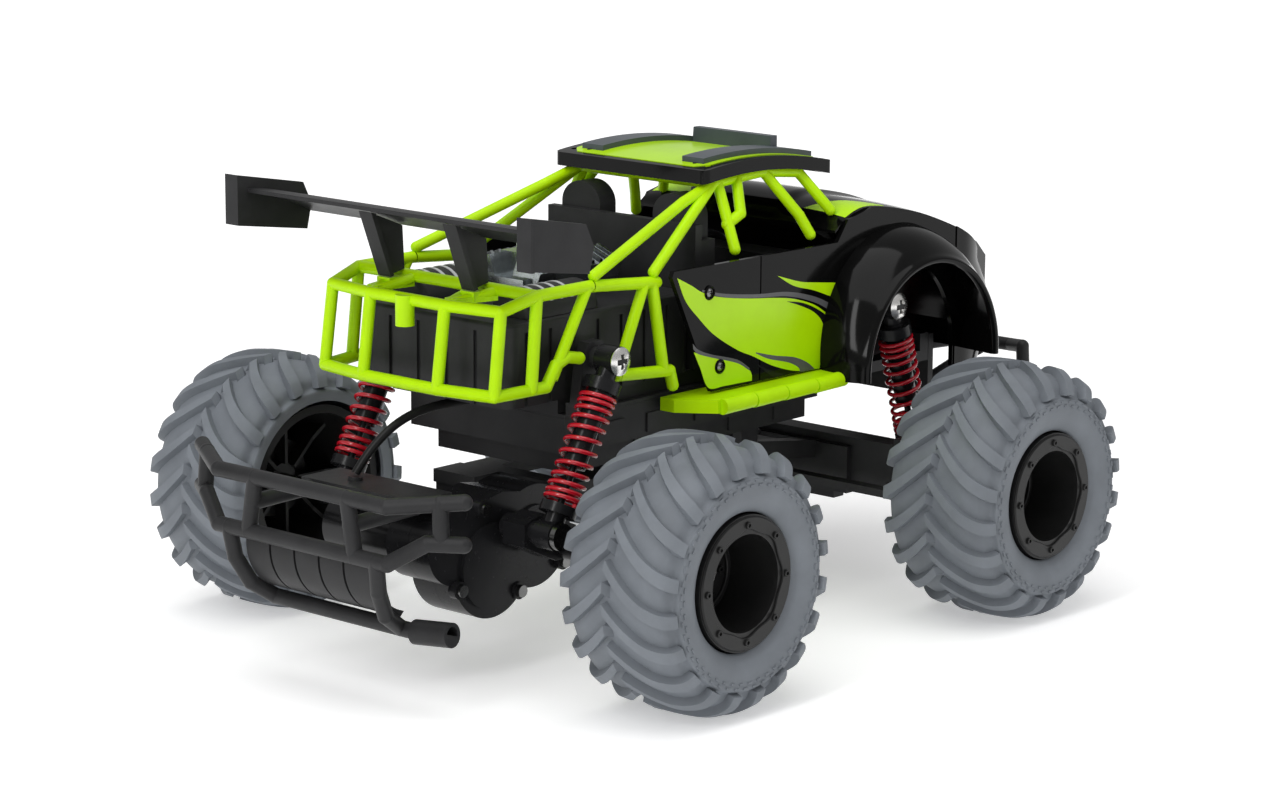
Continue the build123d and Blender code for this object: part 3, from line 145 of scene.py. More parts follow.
def grid_faces(rows, columns, close_rows=False, close_columns=False):
    """Quads of a grid of rows x columns points, joined round on itself where asked."""
    i = np.arange(rows if close_rows else rows - 1)[:, None]
    j = np.arange(columns if close_columns else columns - 1)[None, :]
    i_next, j_next = (i + 1) % rows, (j + 1) % columns
    corners = [i * columns + j, i * columns + j_next, i_next * columns + j_next, i_next * columns + j]
    return np.stack([np.broadcast_to(c, (i.size, j.size)).ravel() for c in corners], 1)


def torus_piece(name, grid, sharp_degrees=35.0):
    """Closed skin of a grid that runs round on itself both ways."""
    rows, columns = grid.shape[:2]
    return mesh_piece(name, grid.reshape(-1, 3), grid_faces(rows, columns, True, True), sharp_degrees)


def slab_piece(name, top, under, sharp_degrees=35.0):
    """Closed plate between two matching grids: the loop of each row runs over the top and back underneath,
    and quads from top to underside close the first and last rows."""
    rings = np.concatenate([top, under[:, ::-1]], 1)
    rows, columns = rings.shape[:2]
    half = top.shape[1]
    faces = grid_faces(rows, columns, False, True)
    cap = np.arange(half - 1)
    ends = []
    for row in (0, rows - 1):
        start = row * columns
        quad = np.stack([start + cap, start + cap + 1, start + columns - 2 - cap, start + columns - 1 - cap], 1)
        ends.append(quad if row else quad[:, ::-1])
    return mesh_piece(name, rings.reshape(-1, 3), np.concatenate([faces[:, ::-1]] + ends), sharp_degrees)


def many(shape_points, shape_faces, origins, axes):
    """One small shape repeated: each point p becomes origin + p.x axis0 + p.y axis1 + p.z axis2."""
    placed = origins[:, None, :] + np.einsum("pk,nkd->npd", shape_points, axes)
    offsets = np.arange(len(origins)) * len(shape_points)
    return placed.reshape(-1, 3), (shape_faces[None] + offsets[:, None, None]).reshape(-1, shape_faces.shape[1])


FRUSTUM_FACES = np.array([[0, 1, 2, 3], [7, 6, 5, 4], [0, 4, 5, 1], [1, 5, 6, 2], [2, 6, 7, 3], [3, 7, 4, 0]])


PAD_SUNK = 0.25


def frustum(half_x, half_y, height, draft):
    """Small raised pad, its foot sunk in the surface: a rectangle that narrows by the draft on its way up."""
    corners = np.array([(-1, -1), (-1, 1), (1, 1), (1, -1)], float)
    base = np.column_stack([corners * (half_x, half_y), np.full(4, -PAD_SUNK)])
    cap = np.column_stack([corners * (half_x - draft, half_y - draft), np.full(4, height)])
    return np.concatenate([base, cap])


def tube_grid(path, radius, columns=16):
    """Circles of the given radius across a path, each turned by the path's slope and one fixed direction."""
    tangent = np.gradient(path, axis=0)
    tangent /= np.linalg.norm(tangent, axis=1)[:, None]
    reference = np.array([0.0, 0.0, 1.0]) if abs(tangent[0, 2]) < 0.9 else np.array([1.0, 0.0, 0.0])
    across = np.cross(tangent, reference)
    across /= np.linalg.norm(across, axis=1)[:, None]
    up = np.cross(across, tangent)
    turn = np.linspace(0, 2 * math.pi, columns, endpoint=False)
    radius = np.broadcast_to(np.asarray(radius, float), (len(path),))
    ring = across[:, None] * np.cos(turn)[None, :, None] + up[:, None] * np.sin(turn)[None, :, None]
    return path[:, None] + ring * radius[:, None, None]


def capped(grid):
    """The grid with each end drawn in to its own centre, so that the tube is closed."""
    ends = [np.broadcast_to(grid[row].mean(0), grid[row].shape) for row in (0, -1)]
    return np.concatenate([ends[0][None], grid, ends[1][None]])


def capped_piece(name, grid, sharp_degrees=35.0):
    """Closed tube with a grid's rows along it and its columns round it."""
    rows, columns = grid.shape[:2]
    full = capped(grid)
    piece = mesh_piece(name, full.reshape(-1, 3), grid_faces(rows + 2, columns, False, True), sharp_degrees)
    merge(piece)
    return piece


def merge(piece):
    """Join the points that lie on each other, such as a pole's."""
    work = bmesh.new()
    work.from_mesh(piece.data)
    bmesh.ops.remove_doubles(work, verts=work.verts, dist=1e-7)
    bmesh.ops.dissolve_degenerate(work, edges=work.edges, dist=1e-8)
    work.to_mesh(piece.data)
    work.free()


# ---------------------------------------------------------------- materials
def base_material(name, colour, roughness, metallic=0.0, coat=0.0, coat_roughness=0.1, specular=0.5):
    material = bpy.data.materials.new(name)
    material.use_nodes = True
    shader = material.node_tree.nodes["Principled BSDF"]
    shader.inputs["Base Color"].default_value = (*colour, 1)
    shader.inputs["Roughness"].default_value = roughness
    shader.inputs["Metallic"].default_value = metallic
    shader.inputs["Coat Weight"].default_value = coat
    shader.inputs["Coat Roughness"].default_value = coat_roughness
    shader.inputs["Specular IOR Level"].default_value = specular
    return material, shader


def object_noise(material, scale, detail=4.0, roughness=0.6):
    """Noise on Object coordinates; the scale is in features per metre."""
    nodes, links = material.node_tree.nodes, material.node_tree.links
    place = nodes.new("ShaderNodeTexCoord")
    noise = nodes.new("ShaderNodeTexNoise")
    noise.inputs["Scale"].default_value = scale
    noise.inputs["Detail"].default_value = detail
    noise.inputs["Roughness"].default_value = roughness
    links.new(place.outputs["Object"], noise.inputs["Vector"])
    return noise


def vary_colour(material, shader, colour, scale, low, high):
    """Base colour that wanders between two brightnesses of itself."""
    nodes, links = material.node_tree.nodes, material.node_tree.links
    noise = object_noise(material, scale)
    ramp = nodes.new("ShaderNodeValToRGB")
    ramp.color_ramp.elements[0].position = 0.32
    ramp.color_ramp.elements[1].position = 0.68
    ramp.color_ramp.elements[0].color = (*(c * low for c in colour), 1)
    ramp.color_ramp.elements[1].color = (*(min(1.0, c * high) for c in colour), 1)
    links.new(noise.outputs["Fac"], ramp.inputs["Fac"])
    links.new(ramp.outputs["Color"], shader.inputs["Base Color"])


def vary_roughness(material, shader, scale, low, high):
    nodes, links = material.node_tree.nodes, material.node_tree.links
    noise = object_noise(material, scale)
    span = nodes.new("ShaderNodeMapRange")
    span.inputs["To Min"].default_value = low
    span.inputs["To Max"].default_value = high
    links.new(noise.outputs["Fac"], span.inputs["Value"])
    links.new(span.outputs["Result"], shader.inputs["Roughness"])


def grain(material, shader, scale, strength, distance=0.0001):
    """Fine bump, as on a spark-eroded mould or dusty rubber."""
    nodes, links = material.node_tree.nodes, material.node_tree.links
    noise = object_noise(material, scale, 3.0)
    bump = nodes.new("ShaderNodeBump")
    bump.inputs["Strength"].default_value = strength
    bump.inputs["Distance"].default_value = distance
    links.new(noise.outputs["Fac"], bump.inputs["Height"])
    links.new(bump.outputs["Normal"], shader.inputs["Normal"])


def plastic(name, colour, roughness, spread, wander=(0.88, 1.12), bump=0.25, **shading):
    material, shader = base_material(name, colour, roughness, **shading)
    vary_colour(material, shader, colour, 60.0, *wander)
    vary_roughness(material, shader, 240.0, roughness - spread, roughness + spread)
    if bump:
        grain(material, shader, 3200.0, bump)
    return material


def make_materials():
    """Every finish by name; those named after a slot of the frame go on that slot's nodes."""
    paint = bpy.context.scene.truck_paint
    lime, tyre, spring, black = (tuple(getattr(paint, key)) for key in ("lime", "tyre", "spring", "black"))
    return {
        "lime_plastic": plastic("lime_plastic", lime, 0.34, 0.05, (0.95, 1.05), 0.05, specular=0.16),
        "lime_decal": plastic("lime_decal", lime, 0.22, 0.04, (0.97, 1.04), 0.0, specular=0.3),
        "grey_decal": plastic("grey_decal", (0.10, 0.10, 0.105), 0.25, 0.04, (0.9, 1.1), 0.0, specular=0.3),
        "black_decal": plastic("black_decal", (0.007, 0.007, 0.008), 0.18, 0.04, (0.9, 1.1), 0.0, specular=0.2),
        "body_gloss": plastic("body_gloss", (0.003, 0.003, 0.003), 0.10, 0.03, (0.8, 1.2), 0.0, specular=0.13),
        "chassis_black": plastic("chassis_black", black, 0.42, 0.06, (0.85, 1.2), 0.3, specular=0.16),
        "rim_black": plastic("rim_black", (0.012, 0.012, 0.012), 0.34, 0.06, (0.85, 1.2), 0.15, specular=0.25),
        "gear_case": plastic("gear_case", (0.010, 0.010, 0.011), 0.26, 0.05, (0.9, 1.15), 0.05, specular=0.22),
        "tyre": plastic("tyre", tyre, 0.62, 0.08, (0.90, 1.08), 0.45, specular=0.3),
        "spring_red": plastic("spring_red", spring, 0.2, 0.04, (0.9, 1.1), 0.0, coat=0.4),
        "roof_grey": plastic("roof_grey", (0.060, 0.072, 0.085), 0.33, 0.05, (0.9, 1.1), 0.12, specular=0.3),
        "gear_white": plastic("gear_white", (0.72, 0.72, 0.69), 0.45, 0.05, (0.96, 1.02), 0.15),
        "cable_black": plastic("cable_black", (0.008, 0.008, 0.008), 0.4, 0.06, (0.8, 1.2), 0.2, specular=0.25),
        "battery_wrap": plastic("battery_wrap", (0.015, 0.11, 0.38), 0.25, 0.05, (0.95, 1.05), 0.0),
        "board_green": plastic("board_green", (0.015, 0.17, 0.05), 0.35, 0.05, (0.9, 1.1), 0.1),
        "lens_clear": plastic("lens_clear", (0.62, 0.64, 0.66), 0.08, 0.03, (0.97, 1.02), 0.0, coat=1.0),
        "hump_stripe": plastic("hump_stripe", (0.45, 0.46, 0.47), 0.3, 0.05, (0.92, 1.05), 0.0),
        "screw_steel": plastic("screw_steel", (0.78, 0.77, 0.75), 0.22, 0.05, (0.95, 1.02), 0.03, metallic=1.0),
        "screw_dark": plastic("screw_dark", (0.20, 0.20, 0.20), 0.22, 0.06, (0.9, 1.1), 0.03, metallic=1.0),
        "motor_steel": plastic("motor_steel", (0.55, 0.55, 0.57), 0.32, 0.06, (0.94, 1.03), 0.1, metallic=1.0),
        "motor_black": plastic("motor_black", (0.02, 0.02, 0.021), 0.2, 0.05, (0.9, 1.1), 0.04, metallic=0.6),
        "engine_chrome": plastic("engine_chrome", (0.42, 0.45, 0.46), 0.2, 0.07, (0.7, 1.25), 0.12,
                                 metallic=1.0),
    }


MATERIALS = {}


def dress(piece, material, body):
    """Finish, slot and, when one is given, the body it rides on."""
    piece.data.materials.clear()
    piece.data.materials.append(MATERIALS[material])
    if body:
        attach(piece, body)
    return piece


def wheel_body(axle, side_name):
    return "rear_wheels" if axle == "rear" else f"wheel_front_{side_name}"


# ---------------------------------------------------------------- tyres
def rounded_line(points, steps):
    """Catmull-Rom curve: between points b and c it is the cubic whose end slopes are (c-a)/2 and (d-b)/2."""
    points = np.asarray(points, float)
    full = np.concatenate([2 * points[:1] - points[1:2], points, 2 * points[-1:] - points[-2:-1]])
    t = np.linspace(0, 1, steps, endpoint=False)[:, None]
    runs = []
    for a, b, c, d in zip(full, full[1:], full[2:], full[3:]):
        runs.append(0.5 * (2 * b + (c - a) * t + (2 * a - 5 * b + 4 * c - d) * t ** 2
                           + (3 * b - a - 3 * c + d) * t ** 3))
    return np.concatenate(runs + [points[-1:]])


def smooth_step(x, low, high):
    """0 below low, 1 above high, and t^2 (3 - 2t) between."""
    t = np.clip((x - low) / (high - low), 0, 1)
    return t * t * (3 - 2 * t)


BAR_LINE = [(0.4, 0.995), (0.66, 0.975), (0.90, 0.905), (1.0, 0.80)]
OUTER_WALL = [(27.9, 42.0), (28.1, 39.0), (27.2, 33.6), (24.2, 28.4)]
INNER_WALL = [(27.8, 42.2), (28.0, 40.2), (27.4, 37.4)]
TYRE_INSIDE = [(23.4, 27.9), (25.0, 37.0), (25.2, 42.0), (20.0, 46.4), (0.0, 48.2), (-20.0, 46.4),
               (-25.0, 42.0), (-24.6, 38.4)]
ROW_STEPS = 7
BAR_HALF = (0.125, 0.185)
BAR_FLANK = 0.035
SWEEP_POWER = 1.7
TYRE_SHARP = 28.0


def tyre_lines(sizes):
    """Section lines (w, r) over the bars and between them, with matching rows, and the bars' first and last row.

    The lower line is the upper one moved inwards along its normal, by the groove depth on the tread."""
    radius, half = sizes.radius / MM, sizes.width / MM / 2
    tread = [(half * w, radius * r) for w, r in BAR_LINE]
    left = [(-w, r) for w, r in INNER_WALL[::-1]] + [(-w, r) for w, r in tread[::-1]]
    control = np.array(left + [(0.0, radius)] + tread + OUTER_WALL)
    slope = np.gradient(control, axis=0)
    normal = np.stack([-slope[:, 1], slope[:, 0]], 1)
    normal /= np.linalg.norm(normal, axis=1)[:, None]
    on_tread = np.zeros(len(control))
    on_tread[len(INNER_WALL):-len(OUTER_WALL)] = 1
    lower = control - (sizes.groove / MM * on_tread)[:, None] * normal
    first = len(INNER_WALL) * ROW_STEPS
    last = (len(control) - 1 - len(OUTER_WALL)) * ROW_STEPS
    return rounded_line(control, ROW_STEPS), rounded_line(lower, ROW_STEPS), first, last


def tyre_grid(sizes, side):
    """Tyre skin about its own centre: rows go round the section, columns round the axle.

    Each pitch has five columns for a bar of the outer half and five for a bar of the inner half, which is half
    a pitch behind, and one in each gap. A row's columns are turned by the bars' sweep, 1 - (1 - s)^SWEEP_POWER
    at the share s of the way to the shoulder, so the bars' walls follow the grid lines, and a bar widens
    towards the shoulder."""
    upper, lower, first, last = tyre_lines(sizes)
    centre = (first + last) // 2
    rows = np.arange(len(upper))
    step = np.hypot(*np.diff(upper, axis=0, prepend=upper[:1]).T)
    along = np.cumsum(step) - np.cumsum(step)[centre]
    share = np.clip(np.abs(along) / along[last], 0, 1)
    turned = sizes.sweep * (1 - (1 - share) ** SWEEP_POWER)
    half = BAR_HALF[0] + (BAR_HALF[1] - BAR_HALF[0]) * share
    offsets = np.stack([-half - BAR_FLANK, -half, 0 * half, half, half + BAR_FLANK], 1)
    gap = np.zeros((len(rows), 1))
    phase = np.concatenate([gap, 0.25 + offsets, gap + 0.5, 0.75 + offsets], 1)
    on_outer = ((rows >= centre) & (rows <= last))[:, None]
    on_inner = ((rows <= centre) & (rows >= first))[:, None]
    top = np.array([0, 1, 1, 1, 0], bool)[None]
    flat = np.zeros((len(rows), 1), bool)
    raised = np.concatenate([flat, on_outer & top, flat, on_inner & top], 1)
    section = np.where(raised[..., None], upper[:, None], lower[:, None])
    section = np.tile(section, (1, sizes.lugs, 1))
    pitches = np.arange(sizes.lugs).repeat(phase.shape[1])
    angle = 2 * math.pi / sizes.lugs * (pitches + np.tile(phase, (1, sizes.lugs)) + turned[:, None])
    inside = np.array(TYRE_INSIDE)
    section = np.concatenate([section, np.broadcast_to(inside[:, None], (len(inside), *section.shape[1:]))])
    angle = np.concatenate([angle, np.broadcast_to(angle[-1], (len(inside), angle.shape[1]))])
    w, r = section[..., 0], section[..., 1]
    return np.stack([r * np.cos(angle), side * w, r * np.sin(angle)], 2)


DASHES = 48
DASH_RADII = (39.2, 41.0)
DASH_PAD = frustum(1.2, 0.5, 0.55, 0.12)


def dash_ring(sizes, side):
    """Two rings of small raised dashes on the sidewall's own slope, the outer ring half a step ahead."""
    _, lower, _, last = tyre_lines(sizes)
    wall = lower[last + ROW_STEPS:][::-1]
    points, faces = [], []
    for ring, radius in enumerate(DASH_RADII):
        angle = 2 * math.pi * (np.arange(DASHES) + ring / 2) / DASHES
        w = np.interp(radius, wall[:, 1], wall[:, 0])
        radial = np.stack([np.cos(angle), 0 * angle, np.sin(angle)], 1)
        tangent = np.stack([-np.sin(angle), 0 * angle, np.cos(angle)], 1)
        outward = np.tile((0.0, float(side), 0.0), (DASHES, 1))
        axes = np.stack([tangent, radial, outward], 1)
        p, f = many(DASH_PAD, FRUSTUM_FACES, radius * radial + w * outward, axes)
        faces.append(f + ring * DASHES * len(DASH_PAD))
        points.append(p)
    return np.concatenate(points), np.concatenate(faces)


class TRUCK_OT_tyres(bpy.types.Operator):
    """Soft grey tyres with swept tread bars and a ring of dashes on the outer sidewall"""
    bl_idname = "truck.tyres"
    bl_label = "Tyres"

    def execute(self, context):
        for axle, x in AXLE_X.items():
            for side_name, side in SIDES.items():
                centre = np.array([x, side * WHEEL_MIDDLE, AXLE_Z])
                grid = tyre_grid(context.scene.truck_tyre, side) + centre
                tyre = torus_piece(f"tread_{axle}_{side_name}", grid, TYRE_SHARP)
                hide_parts(f"tyre_{axle}_{side_name}")
                dress(tyre, "tyre", wheel_body(axle, side_name))
                points, faces = dash_ring(context.scene.truck_tyre, side)
                dashes = mesh_piece(f"sidewall_dashes_{axle}_{side_name}", points + centre, faces)
                dress(dashes, "tyre", wheel_body(axle, side_name))
        return {"FINISHED"}


# ---------------------------------------------------------------- wheel details
RING_FACE = 25.5
RING_RADII = (21.0, 26.7)
RING_HEIGHT = 0.9
RING_WAVE = 0.65
HUB_FACE = 3.0
HUB_RADII = (13.9, 16.2)
HUB_HEIGHT = 1.4
CLAMP_BOLTS = {"count": 8, "circle": 23.35, "face": RING_FACE + RING_HEIGHT, "radius": 1.45, "height": 0.9}
HUB_BOLTS = {"count": 6, "circle": 10.4, "face": HUB_FACE, "radius": 1.5, "height": 1.3}
RING_EDGE = 0.3


def socket_bolt(radius, height):
    """Round bolt head with a six-sided socket: rows run up its side, over the rim and down into the socket.

    The socket's edge is a (cos 30) / cos(turn from the middle of a side)."""
    turn = np.linspace(0, 2 * math.pi, 18, endpoint=False)
    six = math.cos(math.pi / 6) / np.cos(turn % (math.pi / 3) - math.pi / 6)
    one = np.ones_like(turn)
    rows = [(0 * one, -0.2), (radius * one, -0.2), (radius * one, height * 0.75), (radius * 0.86 * one, height),
            (radius * 0.58 * six, height), (radius * 0.54 * six, height * 0.3), (0 * one, height * 0.3)]
    grid = [np.stack([r * np.cos(turn), r * np.sin(turn), 0 * turn + z], 1) for r, z in rows]
    return np.concatenate(grid), grid_faces(len(rows), len(turn), False, True)


def bolt_ring(side, count, circle, face, radius, height):
    """Bolts spaced evenly on a circle about the axle, on a face at a given distance from the tyre's middle."""
    points, faces = socket_bolt(radius, height)
    angle = 2 * math.pi * np.arange(count) / count
    radial = np.stack([np.cos(angle), 0 * angle, np.sin(angle)], 1)
    tangent = np.stack([-np.sin(angle), 0 * angle, np.cos(angle)], 1)
    outward = np.tile((0.0, float(side), 0.0), (count, 1))
    return many(points, faces, circle * radial + face * outward, np.stack([radial, tangent, outward], 1))


def wavy_ring(side, radii, face, height, wave=0.0):
    """Flat ring with softened edges whose inner edge swings in and out eight times: r = inner + wave cos 8a."""
    angle = np.linspace(0, 2 * math.pi, 160, endpoint=False)
    mouth = radii[0] + wave * np.cos(8 * angle)
    outer = radii[1] + 0 * angle
    section = [(mouth, 0.0), (mouth, height - RING_EDGE), (mouth + RING_EDGE, height),
               (outer - 2 * RING_EDGE, height), (outer, height - 2 * RING_EDGE), (outer, 0.0)]
    return np.stack([np.stack([r * np.cos(angle), side * (face + h) + 0 * angle, r * np.sin(angle)], 1)
                     for r, h in section])


class TRUCK_OT_wheel_details(bpy.types.Operator):
    """Clamping ring with a wavy mouth and eight socket bolts, and a bolted hub at the bottom of each dish"""
    bl_idname = "truck.wheel_details"
    bl_label = "Wheel details"

    def execute(self, context):
        for axle, x in AXLE_X.items():
            for side_name, side in SIDES.items():
                centre = np.array([x, side * WHEEL_MIDDLE, AXLE_Z])
                end = f"{axle}_{side_name}"
                body = wheel_body(axle, side_name)
                ring_grid = wavy_ring(side, RING_RADII, RING_FACE, RING_HEIGHT, RING_WAVE)
                ring = torus_piece(f"clamp_ring_{end}", ring_grid + centre)
                dress(ring, "rim_black", body)
                hub = torus_piece(f"hub_ring_{end}", wavy_ring(side, HUB_RADII, HUB_FACE, HUB_HEIGHT) + centre)
                dress(hub, "rim_black", body)
                for label, bolt in (("clamp", CLAMP_BOLTS), ("hub", HUB_BOLTS)):
                    points, faces = bolt_ring(side, **bolt)
                    bolts = mesh_piece(f"{label}_bolts_{end}", points + centre, faces)
                    merge(bolts)
                    dress(bolts, "rim_black", body)
        return {"FINISHED"}


# ---------------------------------------------------------------- springs and lead
UPPER_SEAT = 14.0       # from the upper eye to the spring's upper seat
LOWER_SEAT = 12.5       # from the lower eye to the spring's lower seat
SEAT_GAP = 0.1
SPRING_EASE = 0.42      # how much slower the wire climbs at the seats
STEPS_A_TURN = 30


class TRUCK_OT_springs(bpy.types.Operator):
    """Red coil springs round the four shock absorbers"""
    bl_idname = "truck.springs"
    bl_label = "Springs"

    def execute(self, context):
        sizes = context.scene.truck_spring
        wire, coil = sizes.wire / MM / 2, sizes.coil / MM
        for axle, (top, low) in SHOCKS.items():
            for side_name, side in SIDES.items():
                start = np.array([top[0], side * SHOCK_Y, top[1]])
                end = np.array([low[0], side * SHOCK_Y, low[1]])
                length = np.linalg.norm(end - start)
                down = (end - start) / length
                across = np.array([0.0, 1.0, 0.0])
                third = np.cross(down, across)
                t = np.linspace(0, 1, int(sizes.turns * STEPS_A_TURN))
                low_seat = length - LOWER_SEAT - SEAT_GAP - wire
                high_seat = UPPER_SEAT + SEAT_GAP + wire
                climb = t - SPRING_EASE * np.sin(2 * math.pi * t) / (2 * math.pi)
                depth = high_seat + (low_seat - high_seat) * climb
                turn = 2 * math.pi * sizes.turns * t
                path = start + depth[:, None] * down + coil * (np.cos(turn)[:, None] * across
                                                                 + np.sin(turn)[:, None] * third)
                spring = capped_piece(f"spring_{axle}_{side_name}", tube_grid(path, wire, 10), 60.0)
                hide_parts(f"{axle}_springs")
                dress(spring, "spring_red", None)
                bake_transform(spring)
        return {"FINISHED"}


LEAD_ROUTE = [(-100.4, -2.0, 107.2), (-121.0, 1.0, 108.0), (-142.0, 5.0, 104.5), (-157.0, 9.0, 93.0),
              (-162.0, 12.0, 83.4)]
LEAD_RADIUS = 1.8


class TRUCK_OT_motor_lead(bpy.types.Operator):
    """Sleeved motor lead from the chassis cover to the gear case"""
    bl_idname = "truck.motor_lead"
    bl_label = "Motor lead"

    def execute(self, context):
        curve = bpy.data.curves.new("lead_line", "CURVE")
        curve.dimensions = "3D"
        curve.resolution_u = 16
        spline = curve.splines.new("NURBS")
        spline.points.add(len(LEAD_ROUTE) - 1)
        route = np.array(LEAD_ROUTE) * MM
        spline.points.foreach_set("co", np.column_stack([route, np.ones(len(route))]).ravel())
        spline.order_u = 3
        spline.use_endpoint_u = True
        line = bpy.data.objects.new("lead_line", curve)
        sampled = bpy.data.meshes.new_from_object(line)
        path = np.zeros(len(sampled.vertices) * 3)
        sampled.vertices.foreach_get("co", path)
        bpy.data.objects.remove(line)
        lead = capped_piece("motor_lead_sleeve", tube_grid(path.reshape(-1, 3) / MM, LEAD_RADIUS, 20), 60.0)
        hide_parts("motor_lead")
        dress(lead, "cable_black", None)
        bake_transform(lead)
        return {"FINISHED"}


# ---------------------------------------------------------------- decals on the doors
DOOR_Y = 58.0
SHEET_LIFT = 0.04
SHEET_STEP = 0.05


def even_line(points, count):
    """A smooth line through the points, with the given count of points along it."""
    line = rounded_line(points, 12)
    t = np.linspace(0, 1, count)
    return np.stack([np.interp(t, np.linspace(0, 1, len(line)), line[:, k]) for k in (0, 1)], 1)


def decal_sheet(name, upper, lower, side, level, material):
    """Thin sheet between two smooth lines of (x, z) points on the door, each level a little further out."""
    top, low = even_line(upper, 60), even_line(lower, 60)
    s = np.linspace(0, 1, 6)[None, :, None]
    flat = top[:, None] * (1 - s) + low[:, None] * s
    outer = side * (DOOR_Y + SHEET_LIFT + SHEET_STEP * level)
    inner = side * DOOR_Y
    sheets = [np.stack([flat[..., 0], np.full(flat.shape[:2], y), flat[..., 1]], 2) for y in (outer, inner)]
    piece = slab_piece(name, sheets[0], sheets[1])
    merge(piece)
    return dress(piece, material, "chassis")


DOOR_SHEETS = {
    "field": (1, "lime_decal",
              [(-47.1, 156.6), (-37.9, 152.2), (-31.5, 148.7), (-21.8, 145.6), (-9.6, 143.4), (2.8, 141.7),
               (15.3, 140.3), (27.9, 138.2), (40.8, 134.2), (50.0, 129.2)],
              [(-47.1, 156.6), (-41.8, 146.4), (-33.8, 138.4), (-24.0, 130.1), (-9.2, 121.6), (2.0, 117.0),
               (14.0, 111.5), (28.0, 107.2), (38.0, 106.0), (45.9, 105.6)]),
    "upper_swoosh": (1, "lime_decal", [(16.8, 149.5), (32.0, 145.1), (44.0, 143.2), (56.0, 141.6)],
                     [(16.8, 149.5), (27.8, 143.8), (40.7, 140.3), (54.0, 135.6)]),
    "top_stripe": (2, "grey_decal", [(-31.5, 149.8), (-17.8, 146.4), (2.7, 143.5), (23.6, 141.8), (40.8, 137.7),
                                     (54.0, 132.4)],
                   [(-31.5, 148.9), (-17.8, 144.9), (2.8, 141.9), (23.7, 139.9), (40.8, 135.2), (52.0, 130.2)]),
    "fin": (3, "black_decal", [(22.9, 137.8), (32.3, 136.1), (40.9, 133.0), (48.7, 128.8), (52.4, 124.6)],
            [(22.9, 137.8), (32.3, 134.7), (40.9, 131.0), (46.6, 126.4), (50.3, 119.0)]),
    "lower_field": (1, "lime_decal", [(-36.4, 124.3), (-26.3, 121.0), (-17.3, 118.9), (-7.5, 115.3),
                                      (-0.8, 111.7), (0.9, 109.2)],
                    [(-36.4, 124.3), (-32.4, 117.2), (-27.0, 108.0), (-17.2, 107.3), (-7.3, 107.1),
                     (0.9, 106.9)]),
    "lower_stripe": (2, "grey_decal",
                     [(-37.2, 128.0), (-33.6, 125.0), (-25.5, 121.9), (-9.2, 117.4), (-0.8, 112.6)],
                     [(-36.6, 125.4), (-33.6, 123.2), (-25.5, 120.6), (-9.1, 115.9), (-0.8, 111.5)]),
    "wave": (2, "grey_decal", [(3.2, 118.7), (15.8, 115.5), (28.5, 113.0), (37.1, 109.6), (42.4, 105.9)],
             [(3.2, 118.2), (11.6, 114.7), (24.3, 111.4), (31.2, 108.3), (32.8, 105.9)]),
    "thorn": (3, "black_decal", [(2.9, 114.1), (11.7, 110.0), (18.0, 107.9), (21.9, 106.6)],
              [(2.9, 114.1), (9.5, 109.4), (14.0, 106.8), (17.4, 106.2)]),
}


class TRUCK_OT_door_decals(bpy.types.Operator):
    """Lime field with grey and black flowing stripes on both doors, without lettering"""
    bl_idname = "truck.door_decals"
    bl_label = "Door decals"

    def execute(self, context):
        for side_name, side in SIDES.items():
            for sheet, (level, material, upper, lower) in DOOR_SHEETS.items():
                decal_sheet(f"door_{sheet}_{side_name}", upper, lower, side, level, material)
        return {"FINISHED"}


# ---------------------------------------------------------------- screws, roof and bed details
SCREW_CROSS = 0.48      # reach of the cross's arms, as a share of the head's radius
SCREW_SLOT = 0.13       # half the arms' width, the same way


def screw_head_grid(radius, rise):
    """Domed head with a cross cut, on a square grid whose outer part is eased into a circle.

    Inside the middle square points stay where they are; further out a point at the share t of the way to the
    edge moves from its square of that size towards the circle. The dome is rise (1 - (r/R)^2), and the cross
    is where the smaller coordinate is within the slot and the larger within the cross."""
    core = 0.62
    slot, cross = SCREW_SLOT, SCREW_CROSS
    line = np.array([0.0, slot, slot * 1.5, 0.5 * (slot * 1.5 + cross), cross, cross + 0.05, core, 0.74, 0.86,
                     0.94, 1.0])
    line = np.concatenate([-line[:0:-1], line])
    x, y = np.meshgrid(line, line, indexing="ij")
    wide, narrow = np.maximum(np.abs(x), np.abs(y)), np.minimum(np.abs(x), np.abs(y))
    r = np.maximum(np.hypot(x, y), 1e-9)
    t = np.clip((wide - core) / (1 - core), 0, 1)
    stretch = (1 - t) + t * wide / r
    x, y = x * stretch, y * stretch
    cut = (narrow <= slot * 1.01) & (wide <= cross * 1.01)
    share = np.hypot(x, y)
    z = 0.35 + rise * (1 - share ** 2) - np.where(cut, 0.25 + rise * 0.6, 0.0)
    return np.stack([x * radius, y * radius, z], 2)


def screw_piece(name, centre, side, material, radius, rise):
    """A screw head whose flat back lies on centre, facing along the truck's side."""
    top = screw_head_grid(radius, rise)
    back = top.copy()
    back[..., 2] = 0.0
    layers = [np.stack([g[..., 0], side * g[..., 2], g[..., 1]], 2) + np.asarray(centre) for g in (top, back)]
    piece = slab_piece(name, layers[0], layers[1], 30.0)
    return dress(piece, material, "chassis")


SHOCK_SCREW_Y = 64.8
SHOCK_SCREW = {"radius": 5.8, "rise": 1.5}
CROSS_LIFT = 1.05
DOOR_SCREWS = ((-27.0, 148.0), (-20.0, 116.0))
DOOR_SCREW_Y = 58.12
DOOR_SCREW = {"radius": 2.1, "rise": 0.9}
WASHER_RADII = (2.2, 3.1)
WASHER_FACE = 58.05
WASHER_HEIGHT = 1.0


